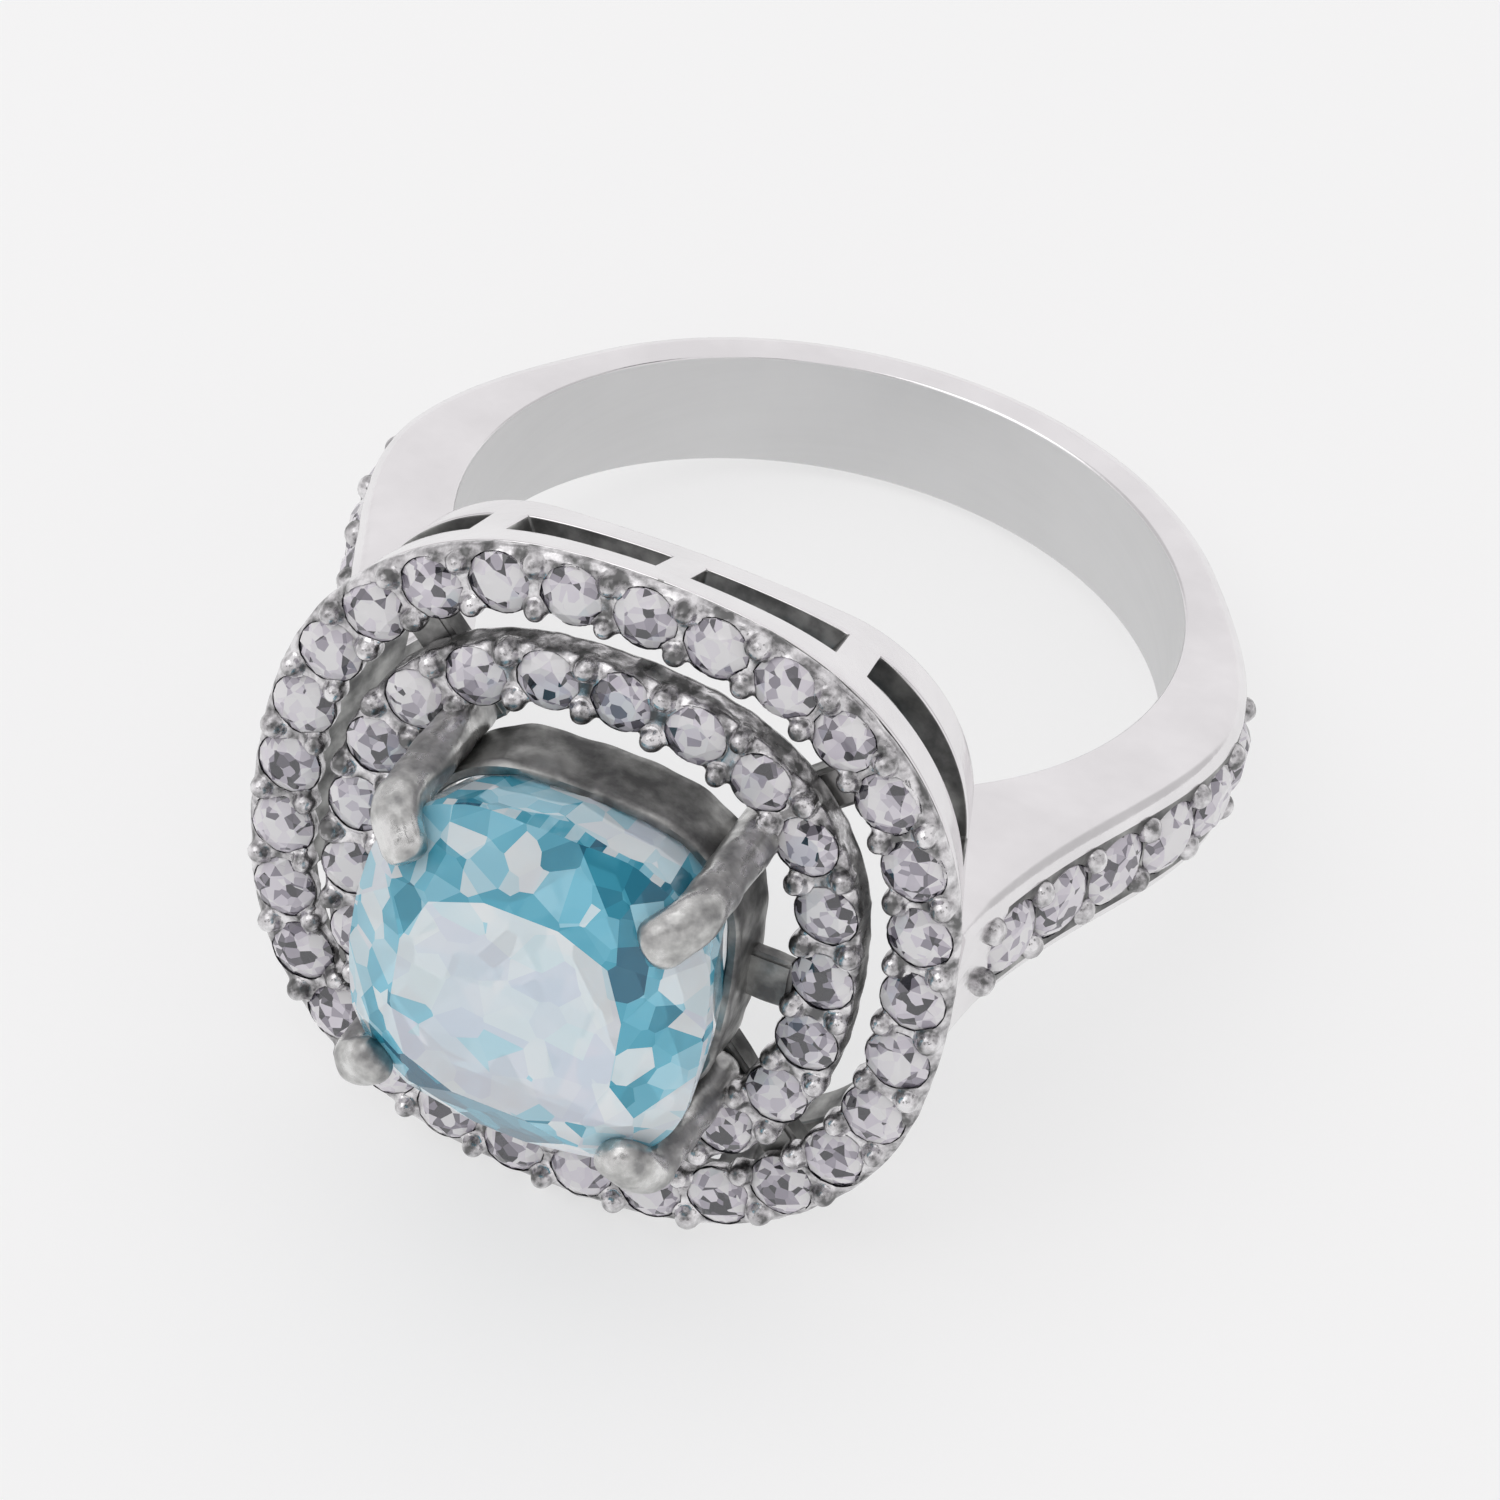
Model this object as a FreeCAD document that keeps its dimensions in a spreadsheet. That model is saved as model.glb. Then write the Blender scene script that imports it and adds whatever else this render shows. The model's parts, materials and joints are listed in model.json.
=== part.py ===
import FreeCAD, Part
import math
import os
import re

import Sketcher
from FreeCAD import Placement, Rotation, Vector

# A cocktail ring, lying on its side as it rests when it is put down. Every sub-part is drawn in ring
# coordinates: X runs across the finger, Y along the finger hole and Z out through the head, with the
# origin at the centre of the finger hole. One placement at the end lays the whole ring down.

DIMENSIONS = {
    # shank
    "bore_radius": 8.65,
    "shank_width": 3.1,
    "shank_thickness": 1.15,
    "shank_edge_round": 0.45,
    "shank_opening_angle": 44.5,
    "shoulder_start_angle": 124,
    "shoulder_thickness": 2.05,
    "shoulder_height": 0.5,
    "shoulder_neck_offset": 0.52,
    "shoulder_neck_drop": 6.0,
    "shoulder_top_drop": 1.05,
    "shoulder_top_offset": 0.1,
    "shoulder_end_overlap": 0.3,
    # gallery, the tapered wall under the outer halo
    "gallery_gap": 0.7,
    "gallery_height": 3.05,
    "gallery_base_half": 7.2,
    "gallery_base_side_radius": 42,
    "gallery_base_corner_radius": 3.9,
    "gallery_top_half": 8.34,
    "gallery_side_radius": 15.8,
    "gallery_corner_radius": 6.8,
    "gallery_wall": 0.7,
    "rail_height": 1.0,
    "window_height": 1.1,
    "window_bar": 0.82,
    "window_length": 3.45,
    "corner_window_start": 3.3,
    # the two halos
    "outer_halo_half": 8.46,
    "outer_halo_side_radius": 15.8,
    "outer_halo_corner_radius": 7.0,
    "outer_halo_width": 1.62,
    "outer_halo_thickness": 0.55,
    "inner_halo_half": 6.4,
    "inner_halo_side_radius": 12,
    "inner_halo_corner_radius": 5.2,
    "inner_halo_width": 1.55,
    "inner_halo_thickness": 1.05,
    # round stones and the beads that hold them
    "outer_stone_diameter": 1.5,
    "outer_stone_count": 29,
    "outer_stone_inset": 0.92,
    "inner_stone_diameter": 1.45,
    "inner_stone_count": 21,
    "inner_stone_inset": 0.8,
    "shoulder_stone_diameter": 1.75,
    "shoulder_stone_count": 6,
    "shoulder_stone_pitch": 1.95,
    "shoulder_first_stone": 2.5,
    "stone_crown_ratio": 0.16,
    "stone_table_ratio": 0.56,
    "stone_pavilion_ratio": 0.42,
    "stone_girdle": 0.05,
    "stone_sink": 0.25,
    "seat_rise": 0.6,
    "bead_radius": 0.24,
    "bead_offset": 0.6,
    "bead_height": 0.1,
    "bead_root": 0.25,
    "shoulder_bead_radius": 0.27,
    "shoulder_bead_offset": 0.67,
    # basket, prongs and centre stone
    "stone_half": 4.15,
    "stone_side_radius": 13.2,
    "stone_corner_radius": 2.82,
    "stone_girdle_level": 3.85,
    "stone_girdle_height": 0.18,
    "crown_height": 1.25,
    "table_inset": 1.75,
    "pavilion_drop": 1.8,
    "pavilion_inset": 0.43,
    "culet_drop": 4.5,
    "culet_half": 0.12,
    "basket_rail_half": 3.98,
    "basket_rail_wall": 0.28,
    "basket_rail_height": 1.8,
    "basket_rail_lift": 0.25,
    "prong_radius": 0.54,
    "prong_bite": 0.16,
    "prong_bend_radius": 0.7,
    "prong_bend_angle": 62,
    "prong_finger": 0.3,
    "bridge_width": 1.35,
    "bridge_height": 0.5,
    "bridge_lift": 0.55,
    "strut_width": 1.0,
    "strut_height": 0.7,
}

# Levels along Z, as formulas in the sizes above.
GALLERY_BOTTOM = "(bore_radius + gallery_gap)"
HALO_BOTTOM = f"({GALLERY_BOTTOM} + gallery_height)"
OUTER_HALO_TOP = f"({HALO_BOTTOM} + outer_halo_thickness)"
INNER_HALO_TOP = f"({HALO_BOTTOM} + inner_halo_thickness)"
GIRDLE_BOTTOM = f"({HALO_BOTTOM} + stone_girdle_level)"
GIRDLE_TOP = f"({GIRDLE_BOTTOM} + stone_girdle_height)"
RAIL_BOTTOM = f"({HALO_BOTTOM} + basket_rail_lift)"
WINDOW_BOTTOM = f"({GALLERY_BOTTOM} + rail_height)"
SHANK_OUTER = "(bore_radius + shank_thickness)"

document = FreeCAD.newDocument("cocktail_ring")
sheet = document.addObject("Spreadsheet::Sheet", "Sizes")
nodes = {}


def write_sizes():
    """Puts every driving dimension in the sheet, with its name beside it."""
    for row, (name, size) in enumerate(DIMENSIONS.items(), start=1):
        sheet.set(f"A{row}", name.replace("_", " "))
        sheet.set(f"B{row}", str(size))
        sheet.setAlias(f"B{row}", name)
    document.recompute()


def formula(text):
    """A formula in plain size names, with each name pointing at its cell in the sheet."""
    return re.sub(r"\b[a-z]+(?:_[a-z]+)+\b", r"Sizes.\g<0>", text)


def value(text):
    """What a formula in plain size names comes to."""
    return float(sheet.evalExpression(formula(text)))


def bind(thing, **properties):
    """Binds properties to formulas. A double underscore stands for a dot in the property's path."""
    for path, text in properties.items():
        thing.setExpression(path.replace("__", "."), formula(text))


def keep(label, thing):
    """Marks a document object as a sub-part of the ring."""
    thing.Label = label
    nodes[label] = thing
    return thing


def fixed(name, shape):
    """A document object with a shape made by Part's own functions."""
    feature = document.addObject("Part::Feature", name)
    feature.Shape = shape
    return feature


def cut(name, base, *tools):
    """Base less every tool."""
    solid = base
    for number, tool in enumerate(tools):
        step = document.addObject("Part::Cut", f"{name}_cut_{number}")
        step.Base = solid
        step.Tool = tool
        solid = step
    return solid


def fuse(name, *shapes):
    """All the shapes as one solid."""
    union = document.addObject("Part::MultiFuse", name)
    union.Shapes = list(shapes)
    return union


# ---- the cushion outline: four gentle side arcs joined by four tighter corner arcs ----

def cushion_arcs(half, side_radius, corner_radius):
    """(centre, radius, start angle, end angle) of the eight arcs, anticlockwise from the +X side."""
    reach = side_radius - half
    corner = (math.sqrt(2 * (side_radius - corner_radius) ** 2 - reach ** 2) - reach) / 2
    blend = math.atan2(corner + reach, corner)
    arcs = []
    for quarter in range(4):
        turn = quarter * math.pi / 2
        side_sweep = math.pi / 2 - blend
        side_centre = Vector(-reach * math.cos(turn), -reach * math.sin(turn), 0)
        corner_turn = turn + math.pi / 4
        corner_reach = corner * math.sqrt(2)
        corner_centre = Vector(math.cos(corner_turn), math.sin(corner_turn), 0) * corner_reach
        arcs.append((side_centre, side_radius, turn - side_sweep, turn + side_sweep))
        arcs.append((corner_centre, corner_radius, turn + side_sweep, turn + blend))
    return arcs


def cushion_stations(half, side_radius, corner_radius, count, shift=0.0):
    """Evenly spaced (point, outward direction) pairs, from the middle of the +Y side onwards."""
    arcs = cushion_arcs(half, side_radius, corner_radius)
    lengths = [radius * (end - start) for _, radius, start, end in arcs]
    around = sum(lengths)
    first = around / 4 + lengths[0] / 2
    stations = []
    for number in range(count):
        distance = (first + (number + shift) * around / count) % around
        index = 0
        while distance > lengths[index]:
            distance -= lengths[index]
            index += 1
        centre, radius, start, _ = arcs[index]
        angle = start + distance / radius
        outward = Vector(math.cos(angle), math.sin(angle), 0)
        stations.append((centre + outward * radius, outward))
    return stations


def draw_cushion(sketch, half, side_radius, corner_radius):
    """Draws a cushion outline in a sketch, held by its half width and its two radii."""
    arcs = cushion_arcs(value(half), value(side_radius), value(corner_radius))
    lines = []
    for centre, radius, start, end in arcs:
        circle = Part.Circle(centre, Vector(0, 0, 1), radius)
        lines.append(sketch.addGeometry(Part.ArcOfCircle(circle, start, end), False))
    for number, line in enumerate(lines):
        following = lines[(number + 1) % len(lines)]
        sketch.addConstraint(Sketcher.Constraint("Tangent", line, 2, following, 1))
    sides = lines[0::2]
    corners = lines[1::2]
    for side, axis in zip(sides, (-1, -2, -1, -2)):
        sketch.addConstraint(Sketcher.Constraint("PointOnObject", side, 3, axis))
    for group in (sides, corners):
        for line in group[1:]:
            sketch.addConstraint(Sketcher.Constraint("Equal", group[0], line))
    reach = f"{side_radius} - {half}"
    ends = [("DistanceX", sides[0], 3, -1, 1), ("DistanceY", sides[1], 3, -1, 1),
            ("DistanceX", -1, 1, sides[2], 3), ("DistanceY", -1, 1, sides[3], 3)]
    measures = [(end, reach) for end in ends]
    measures += [(("Radius", sides[0]), side_radius), (("Radius", corners[0]), corner_radius)]
    for parts, text in measures:
        index = sketch.addConstraint(Sketcher.Constraint(*parts, value(text)))
        sketch.setExpression(f"Constraints[{index}]", formula(text))


def origin_plane(body, role):
    """One of a body's own origin planes, by its role."""
    return [plane for plane in body.Origin.OriginFeatures if plane.Role == role][0]


def level_sketch(body, name, level, *outlines):
    """A sketch of cushion outlines at a level above the ring's centre."""
    sketch = body.newObject("Sketcher::SketchObject", name)
    sketch.AttachmentSupport = [(origin_plane(body, "XY_Plane"), "")]
    sketch.MapMode = "FlatFace"
    bind(sketch, AttachmentOffset__Base__z=level)
    for outline in outlines:
        draw_cushion(sketch, *outline)
    return sketch


def inset(outline, amount):
    """The same cushion outline, moved inwards all round."""
    return tuple(f"({size} - {amount})" for size in outline)


def padded_body(name, level, height, *outlines):
    """A body padded upwards from cushion outlines."""
    body = document.addObject("PartDesign::Body", name)
    sketch = level_sketch(body, f"{name}_outline", level, *outlines)
    pad = body.newObject("PartDesign::Pad", f"{name}_pad")
    pad.Profile = sketch
    bind(pad, Length=height)
    body.Tip = pad
    return body


def lofted_body(name, stations):
    """A body lofted through cushion outlines, each given with its level."""
    body = document.addObject("PartDesign::Body", name)
    sketches = [level_sketch(body, f"{name}_outline_{number}", level, outline)
                for number, (level, outline) in enumerate(stations)]
    for number, (lower, upper) in enumerate(zip(sketches, sketches[1:])):
        loft = body.newObject("PartDesign::AdditiveLoft", f"{name}_loft_{number}")
        loft.Profile = lower
        loft.Sections = [upper]
        loft.Ruled = True
        body.Tip = loft
    return body


GALLERY_BASE = ("gallery_base_half", "gallery_base_side_radius", "gallery_base_corner_radius")
GALLERY_TOP = ("gallery_top_half", "gallery_side_radius", "gallery_corner_radius")
OUTER_HALO = ("outer_halo_half", "outer_halo_side_radius", "outer_halo_corner_radius")
INNER_HALO = ("inner_halo_half", "inner_halo_side_radius", "inner_halo_corner_radius")
CENTRE_STONE = ("stone_half", "stone_side_radius", "stone_corner_radius")
BASKET_RAIL = inset(CENTRE_STONE, "(stone_half - basket_rail_half)")


# ---- round stones, their seats and beads ----

def turned_body(name, corners):
    """A body turned about Z from a closed profile of (distance from the axis, level) formulas."""
    body = document.addObject("PartDesign::Body", name)
    sketch = body.newObject("Sketcher::SketchObject", f"{name}_profile")
    sketch.AttachmentSupport = [(origin_plane(body, "XZ_Plane"), "")]
    sketch.MapMode = "FlatFace"
    points = [Vector(value(across), value(up), 0) for across, up in corners]
    for number, point in enumerate(points):
        following = points[(number + 1) % len(points)]
        sketch.addGeometry(Part.LineSegment(point, following), False)
    for number, (across, up) in enumerate(corners):
        following = (number + 1) % len(corners)
        sketch.addConstraint(Sketcher.Constraint("Coincident", number, 2, following, 1))
        for direction, text in (("DistanceX", across), ("DistanceY", up)):
            constraint = Sketcher.Constraint(direction, -1, 1, number, 1, value(text))
            index = sketch.addConstraint(constraint)
            sketch.setExpression(f"Constraints[{index}]", formula(text))
    turning = body.newObject("PartDesign::Revolution", f"{name}_turning")
    turning.Profile = sketch
    turning.ReferenceAxis = (sketch, ["V_Axis"])
    turning.Angle = 360
    body.Tip = turning
    return body


def round_stone(name, diameter):
    """A round brilliant with the foot of its girdle on the XY plane: crown, girdle and pavilion."""
    radius = f"({diameter} / 2)"
    crown = f"(stone_girdle + {diameter} * stone_crown_ratio)"
    return turned_body(name, [
        ("0", f"-{diameter} * stone_pavilion_ratio"), (radius, "0"), (radius, "stone_girdle"),
        (f"({radius} * stone_table_ratio)", crown), ("0", crown)])


def stone_seat(name, diameter):
    """The hole that takes a round stone: a cone for its pavilion and a straight bore above its girdle."""
    radius = f"({diameter} / 2)"
    return turned_body(name, [
        ("0", f"-{diameter} * stone_pavilion_ratio"), (radius, "0"), (radius, "seat_rise"), ("0", "seat_rise")])


def bead(name, radius):
    """A domed post that stands on the metal's surface at the XY plane, with a root sunk below it."""
    post = document.addObject("Part::Cylinder", f"{name}_post")
    bind(post, Radius=radius, Height="bead_root + bead_height", Placement__Base__z="-bead_root")
    dome = document.addObject("Part::Sphere", f"{name}_dome")
    bind(dome, Radius=radius, Placement__Base__z="bead_height")
    return fuse(name, post, dome)


def copies(pattern, placements):
    """The pattern's shape at each placement, as a list."""
    shapes = []
    for place in placements:
        shape = pattern.Shape.copy()
        shape.Placement = place.multiply(shape.Placement)
        shapes.append(shape)
    return shapes


def halo_places(outline, stone_inset, count, level):
    """Placements of a halo's stones, and of the bead pairs between them."""
    path = [value(size) for size in inset(outline, stone_inset)]
    sunk = level - value("stone_sink")
    stones = [Placement(point + Vector(0, 0, sunk), Rotation())
              for point, _ in cushion_stations(*path, count)]
    beads = []
    for point, outward in cushion_stations(*path, count, shift=0.5):
        for side in (-1, 1):
            across = outward * side * value("bead_offset")
            beads.append(Placement(point + across + Vector(0, 0, level), Rotation()))
    return stones, beads


def side_of(place):
    """Which side of the head a stone is on."""
    point = place.Base
    if abs(point.y) >= abs(point.x):
        return "upper" if point.y > 0 else "lower"
    return "right" if point.x > 0 else "left"


def group_by_side(label, places, shapes):
    """One sub-part for the stones of each side of a halo."""
    for side in ("upper", "right", "lower", "left"):
        chosen = [shape for place, shape in zip(places, shapes) if side_of(place) == side]
        keep(f"{label}_{side}", fixed(f"{label}_{side}_group", Part.makeCompound(chosen)))


# ---- the sub-parts ----

def shoulder_curve(mirror):
    """The outer line of one shoulder, from the underside of the halo down to the plain shank."""
    bore = value("bore_radius")
    joint_angle = math.radians(value("shoulder_start_angle"))
    joint = Vector(math.sin(joint_angle), 0, math.cos(joint_angle)) * value(SHANK_OUTER)
    widest = Vector(bore + value("shoulder_thickness"), 0, value("shoulder_height"))
    neck = Vector(bore + value("shoulder_neck_offset"), 0, value(f"{HALO_BOTTOM} - shoulder_neck_drop"))
    top = gallery_side_point(value(f"{HALO_BOTTOM} - shoulder_top_drop"))
    top.x += value("shoulder_top_offset")
    points = [Vector(point.x * mirror, 0, point.z) for point in (top, neck, widest, joint)]
    leaving = Vector(math.cos(joint_angle) * mirror, 0, -math.sin(joint_angle))
    curve = Part.BSplineCurve()
    reach = (points[1] - points[0]).Length
    curve.interpolate(Points=points, InitialTangent=Vector(0.1 * mirror, 0, -1) * reach,
                      FinalTangent=leaving * reach)
    return curve.toShape()


def gallery_side_point(level):
    """Where the middle of the gallery's +X side is at a level."""
    rise = (level - value(GALLERY_BOTTOM)) / value("gallery_height")
    across = value("gallery_base_half") + rise * value("gallery_top_half - gallery_base_half")
    return Vector(across, 0, level)


def shank_blank():
    """The shank before its stones are set: a C-shaped plate whose outer edges are rounded."""
    bore = value("bore_radius")
    outer = value(SHANK_OUTER)
    opening = math.radians(value("shank_opening_angle"))
    right = shoulder_curve(1)
    left = shoulder_curve(-1)
    back = Part.Arc(right.Vertexes[-1].Point, Vector(0, 0, -outer), left.Vertexes[-1].Point).toShape()
    bore_end = Vector(math.sin(opening), 0, math.cos(opening)) * bore
    under = gallery_side_point(value(GALLERY_BOTTOM))
    under.x -= value("shoulder_end_overlap")
    top_level = right.Vertexes[0].Point.z
    inner = [bore_end, under, Vector(under.x, 0, top_level)]
    edges = [left, back, right]
    for side in (1, -1):
        points = [Vector(point.x * side, 0, point.z) for point in inner]
        start = right.Vertexes[0].Point if side == 1 else left.Vertexes[0].Point
        points.append(start)
        edges += [Part.makeLine(first, second) for first, second in zip(points, points[1:])]
    mirrored_end = Vector(-bore_end.x, 0, bore_end.z)
    edges.append(Part.Arc(bore_end, Vector(0, 0, -bore), mirrored_end).toShape())
    face = Part.Face(Part.Wire(Part.__sortEdges__(edges)))
    width = value("shank_width")
    face.translate(Vector(0, -width / 2, 0))
    solid = face.extrude(Vector(0, width, 0))
    return solid.makeFillet(value("shank_edge_round"), outer_edges(solid, outer))


def outer_edges(solid, outer):
    """The edges that follow the outside of the shank on both of its side faces."""
    side = value("shank_width") / 2
    chosen = []
    for edge in solid.Edges:
        middle = edge.valueAt((edge.FirstParameter + edge.LastParameter) / 2)
        on_side = abs(abs(middle.y) - side) < 1e-6
        outside = math.hypot(middle.x, middle.z) > outer - 1e-6
        if on_side and outside and edge.Curve.TypeId != "Part::GeomLine" and edge.Length > side:
            chosen.append(edge)
    return chosen


def shoulder_places(mirror):
    """Placements of one shoulder's stones, and of the bead pairs before, between and after them."""
    edge = shoulder_curve(mirror)
    count = int(value("shoulder_stone_count"))
    pitch = value("shoulder_stone_pitch")
    first = value("shoulder_first_stone")
    stones = []
    beads = []
    for step in range(-1, 2 * count):
        where = edge.getParameterByLength(first + step * pitch / 2)
        along = edge.tangentAt(where)
        outward = Vector(-along.z * mirror, 0, along.x * mirror)
        spot = edge.valueAt(where)
        facing = Rotation(Vector(0, 0, 1), outward)
        if step % 2 == 0:
            stones.append(Placement(spot - outward * value("stone_sink"), facing))
            continue
        for side in (-1, 1):
            across = Vector(0, side * value("shoulder_bead_offset"), 0)
            beads.append(Placement(spot + across, facing))
    return stones, beads


def make_gallery_form():
    """The gallery's outside as a full solid, and the hollow inside it."""
    outside = [(GALLERY_BOTTOM, GALLERY_BASE), (HALO_BOTTOM, GALLERY_TOP)]
    inside = [(level, inset(outline, "gallery_wall")) for level, outline in outside]
    return lofted_body("gallery_outside", outside), lofted_body("gallery_inside", inside)


def make_window_tools():
    """Boxes that cut the windows: two in each long side and one round each corner."""
    boxes = []
    beyond = "(gallery_top_half * 2)"
    corner_start = "(window_bar * 1.5 + window_length)"
    for side in (1, -1):
        for hand in (1, -1):
            window = document.addObject("Part::Box", "window")
            start = "window_bar / 2" if hand == 1 else "-window_bar / 2 - window_length"
            depth = "0" if side == 1 else f"-{beyond}"
            bind(window, Length="window_length", Width=beyond, Height="window_height",
                 Placement__Base__x=start, Placement__Base__y=depth, Placement__Base__z=WINDOW_BOTTOM)
            corner = document.addObject("Part::Box", "corner_window")
            across = corner_start if hand == 1 else f"-{corner_start} - {beyond}"
            along = "corner_window_start" if side == 1 else f"-corner_window_start - {beyond}"
            bind(corner, Length=beyond, Width=beyond, Height="window_height",
                 Placement__Base__x=across, Placement__Base__y=along, Placement__Base__z=WINDOW_BOTTOM)
            boxes += [window, corner]
    return boxes


def make_struts():
    """Four diagonal bars under the halos, from the prongs out to the gallery wall."""
    struts = []
    for quarter in range(4):
        strut = document.addObject("Part::Box", f"strut_{quarter}")
        bind(strut, Length="gallery_top_half * 2", Width="strut_width", Height="strut_height")
        angle = 45 + 90 * quarter
        along = Rotation(Vector(0, 0, 1), angle)
        start = along.multVec(Vector(prong_distance() - value("prong_radius"), -value("strut_width / 2"), 0))
        start.z = value(f"{HALO_BOTTOM} - strut_height")
        strut.Placement = Placement(start, along)
        struts.append(strut)
    return struts


def cushion_corner(half, side_radius, corner_radius):
    """How far a cushion outline's corner is from its centre."""
    centre, radius, _, _ = cushion_arcs(half, side_radius, corner_radius)[1]
    return centre.Length + radius


def prong_distance():
    """How far a prong's shaft stands from the middle of the stone."""
    corner = cushion_corner(*[value(size) for size in CENTRE_STONE])
    return corner + value("prong_radius - prong_bite")


def make_prong_wire():
    """One prong along the +X axis: shaft, bend, finger and rounded end."""
    shaft = document.addObject("Part::Cylinder", "prong_shaft")
    bind(shaft, Radius="prong_radius", Height=f"{GIRDLE_TOP} - {HALO_BOTTOM}")
    distance = prong_distance()
    shaft.Placement.Base = Vector(distance, 0, value(HALO_BOTTOM))
    bend = document.addObject("Part::Torus", "prong_bend")
    bind(bend, Radius1="prong_bend_radius", Radius2="prong_radius", Angle3="prong_bend_angle")
    centre = Vector(distance - value("prong_bend_radius"), 0, value(GIRDLE_TOP))
    bend.Placement = Placement(centre, Rotation(Vector(1, 0, 0), 90))
    angle = value("prong_bend_angle")
    turned = math.radians(angle)
    outward = Vector(math.cos(turned), 0, math.sin(turned)) * value("prong_bend_radius")
    leaving = Vector(-math.sin(turned), 0, math.cos(turned))
    finger = document.addObject("Part::Cylinder", "prong_finger_wire")
    bind(finger, Radius="prong_radius", Height="prong_finger")
    finger.Placement = Placement(centre + outward, Rotation(Vector(0, 0, 1), leaving))
    end = document.addObject("Part::Sphere", "prong_end")
    bind(end, Radius="prong_radius")
    end.Placement.Base = centre + outward + leaving * value("prong_finger")
    return fuse("prong_wire", shaft, bend, finger, end)


def make_centre_stone(name):
    """The cushion-cut stone: pavilion in two slopes, girdle and crown."""
    girdle = CENTRE_STONE
    waist = inset(girdle, "pavilion_inset")
    scale = "culet_half / stone_half"
    culet = tuple(f"({size} * {scale})" for size in girdle)
    table_scale = "(1 - table_inset / stone_half)"
    table = tuple(f"({size} * {table_scale})" for size in girdle)
    levels = [(f"({GIRDLE_BOTTOM} - culet_drop)", culet), (f"({GIRDLE_BOTTOM} - pavilion_drop)", waist),
              (GIRDLE_BOTTOM, girdle), (GIRDLE_TOP, girdle), (f"({GIRDLE_TOP} + crown_height)", table)]
    return lofted_body(name, levels)


def make_bridges():
    """Two short bars that tie the basket rail to the inner halo at the shoulders."""
    bridges = {}
    for label, hand in (("bridge_right", 1), ("bridge_left", -1)):
        bridge = document.addObject("Part::Box", f"{label}_bar")
        start = "basket_rail_half - basket_rail_wall" if hand == 1 else "-inner_halo_half + inner_halo_width / 2"
        bind(bridge, Length="inner_halo_half - inner_halo_width / 2 - basket_rail_half + basket_rail_wall",
             Width="bridge_width", Height="bridge_height", Placement__Base__x=start,
             Placement__Base__y="-bridge_width / 2", Placement__Base__z=f"{HALO_BOTTOM} + bridge_lift")
        bridges[label] = bridge
    return bridges


def lying_down():
    """The placement that lays the ring on its side, on the halo's rim and the back of the shank."""
    rounding = value("shank_edge_round")
    run = value(f"{HALO_BOTTOM} + {SHANK_OUTER} - shank_edge_round")
    rise = value("outer_halo_half - shank_width / 2 + shank_edge_round")
    tilt = math.atan2(rise, run) - math.asin(rounding / math.hypot(rise, run))
    turn = Placement(Vector(), Rotation(Vector(1, 0, 0), 90 - math.degrees(tilt)))
    shapes = [turned_copy(thing.Shape, turn) for thing in nodes.values()]
    box = Part.makeCompound(shapes).BoundBox
    shift = Vector(-box.Center.x, -box.Center.y, -box.ZMin)
    return Placement(shift, Rotation()).multiply(turn)


def turned_copy(shape, place):
    """A copy of a shape, moved by a placement."""
    moved = shape.copy()
    moved.Placement = place.multiply(moved.Placement)
    return moved


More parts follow.
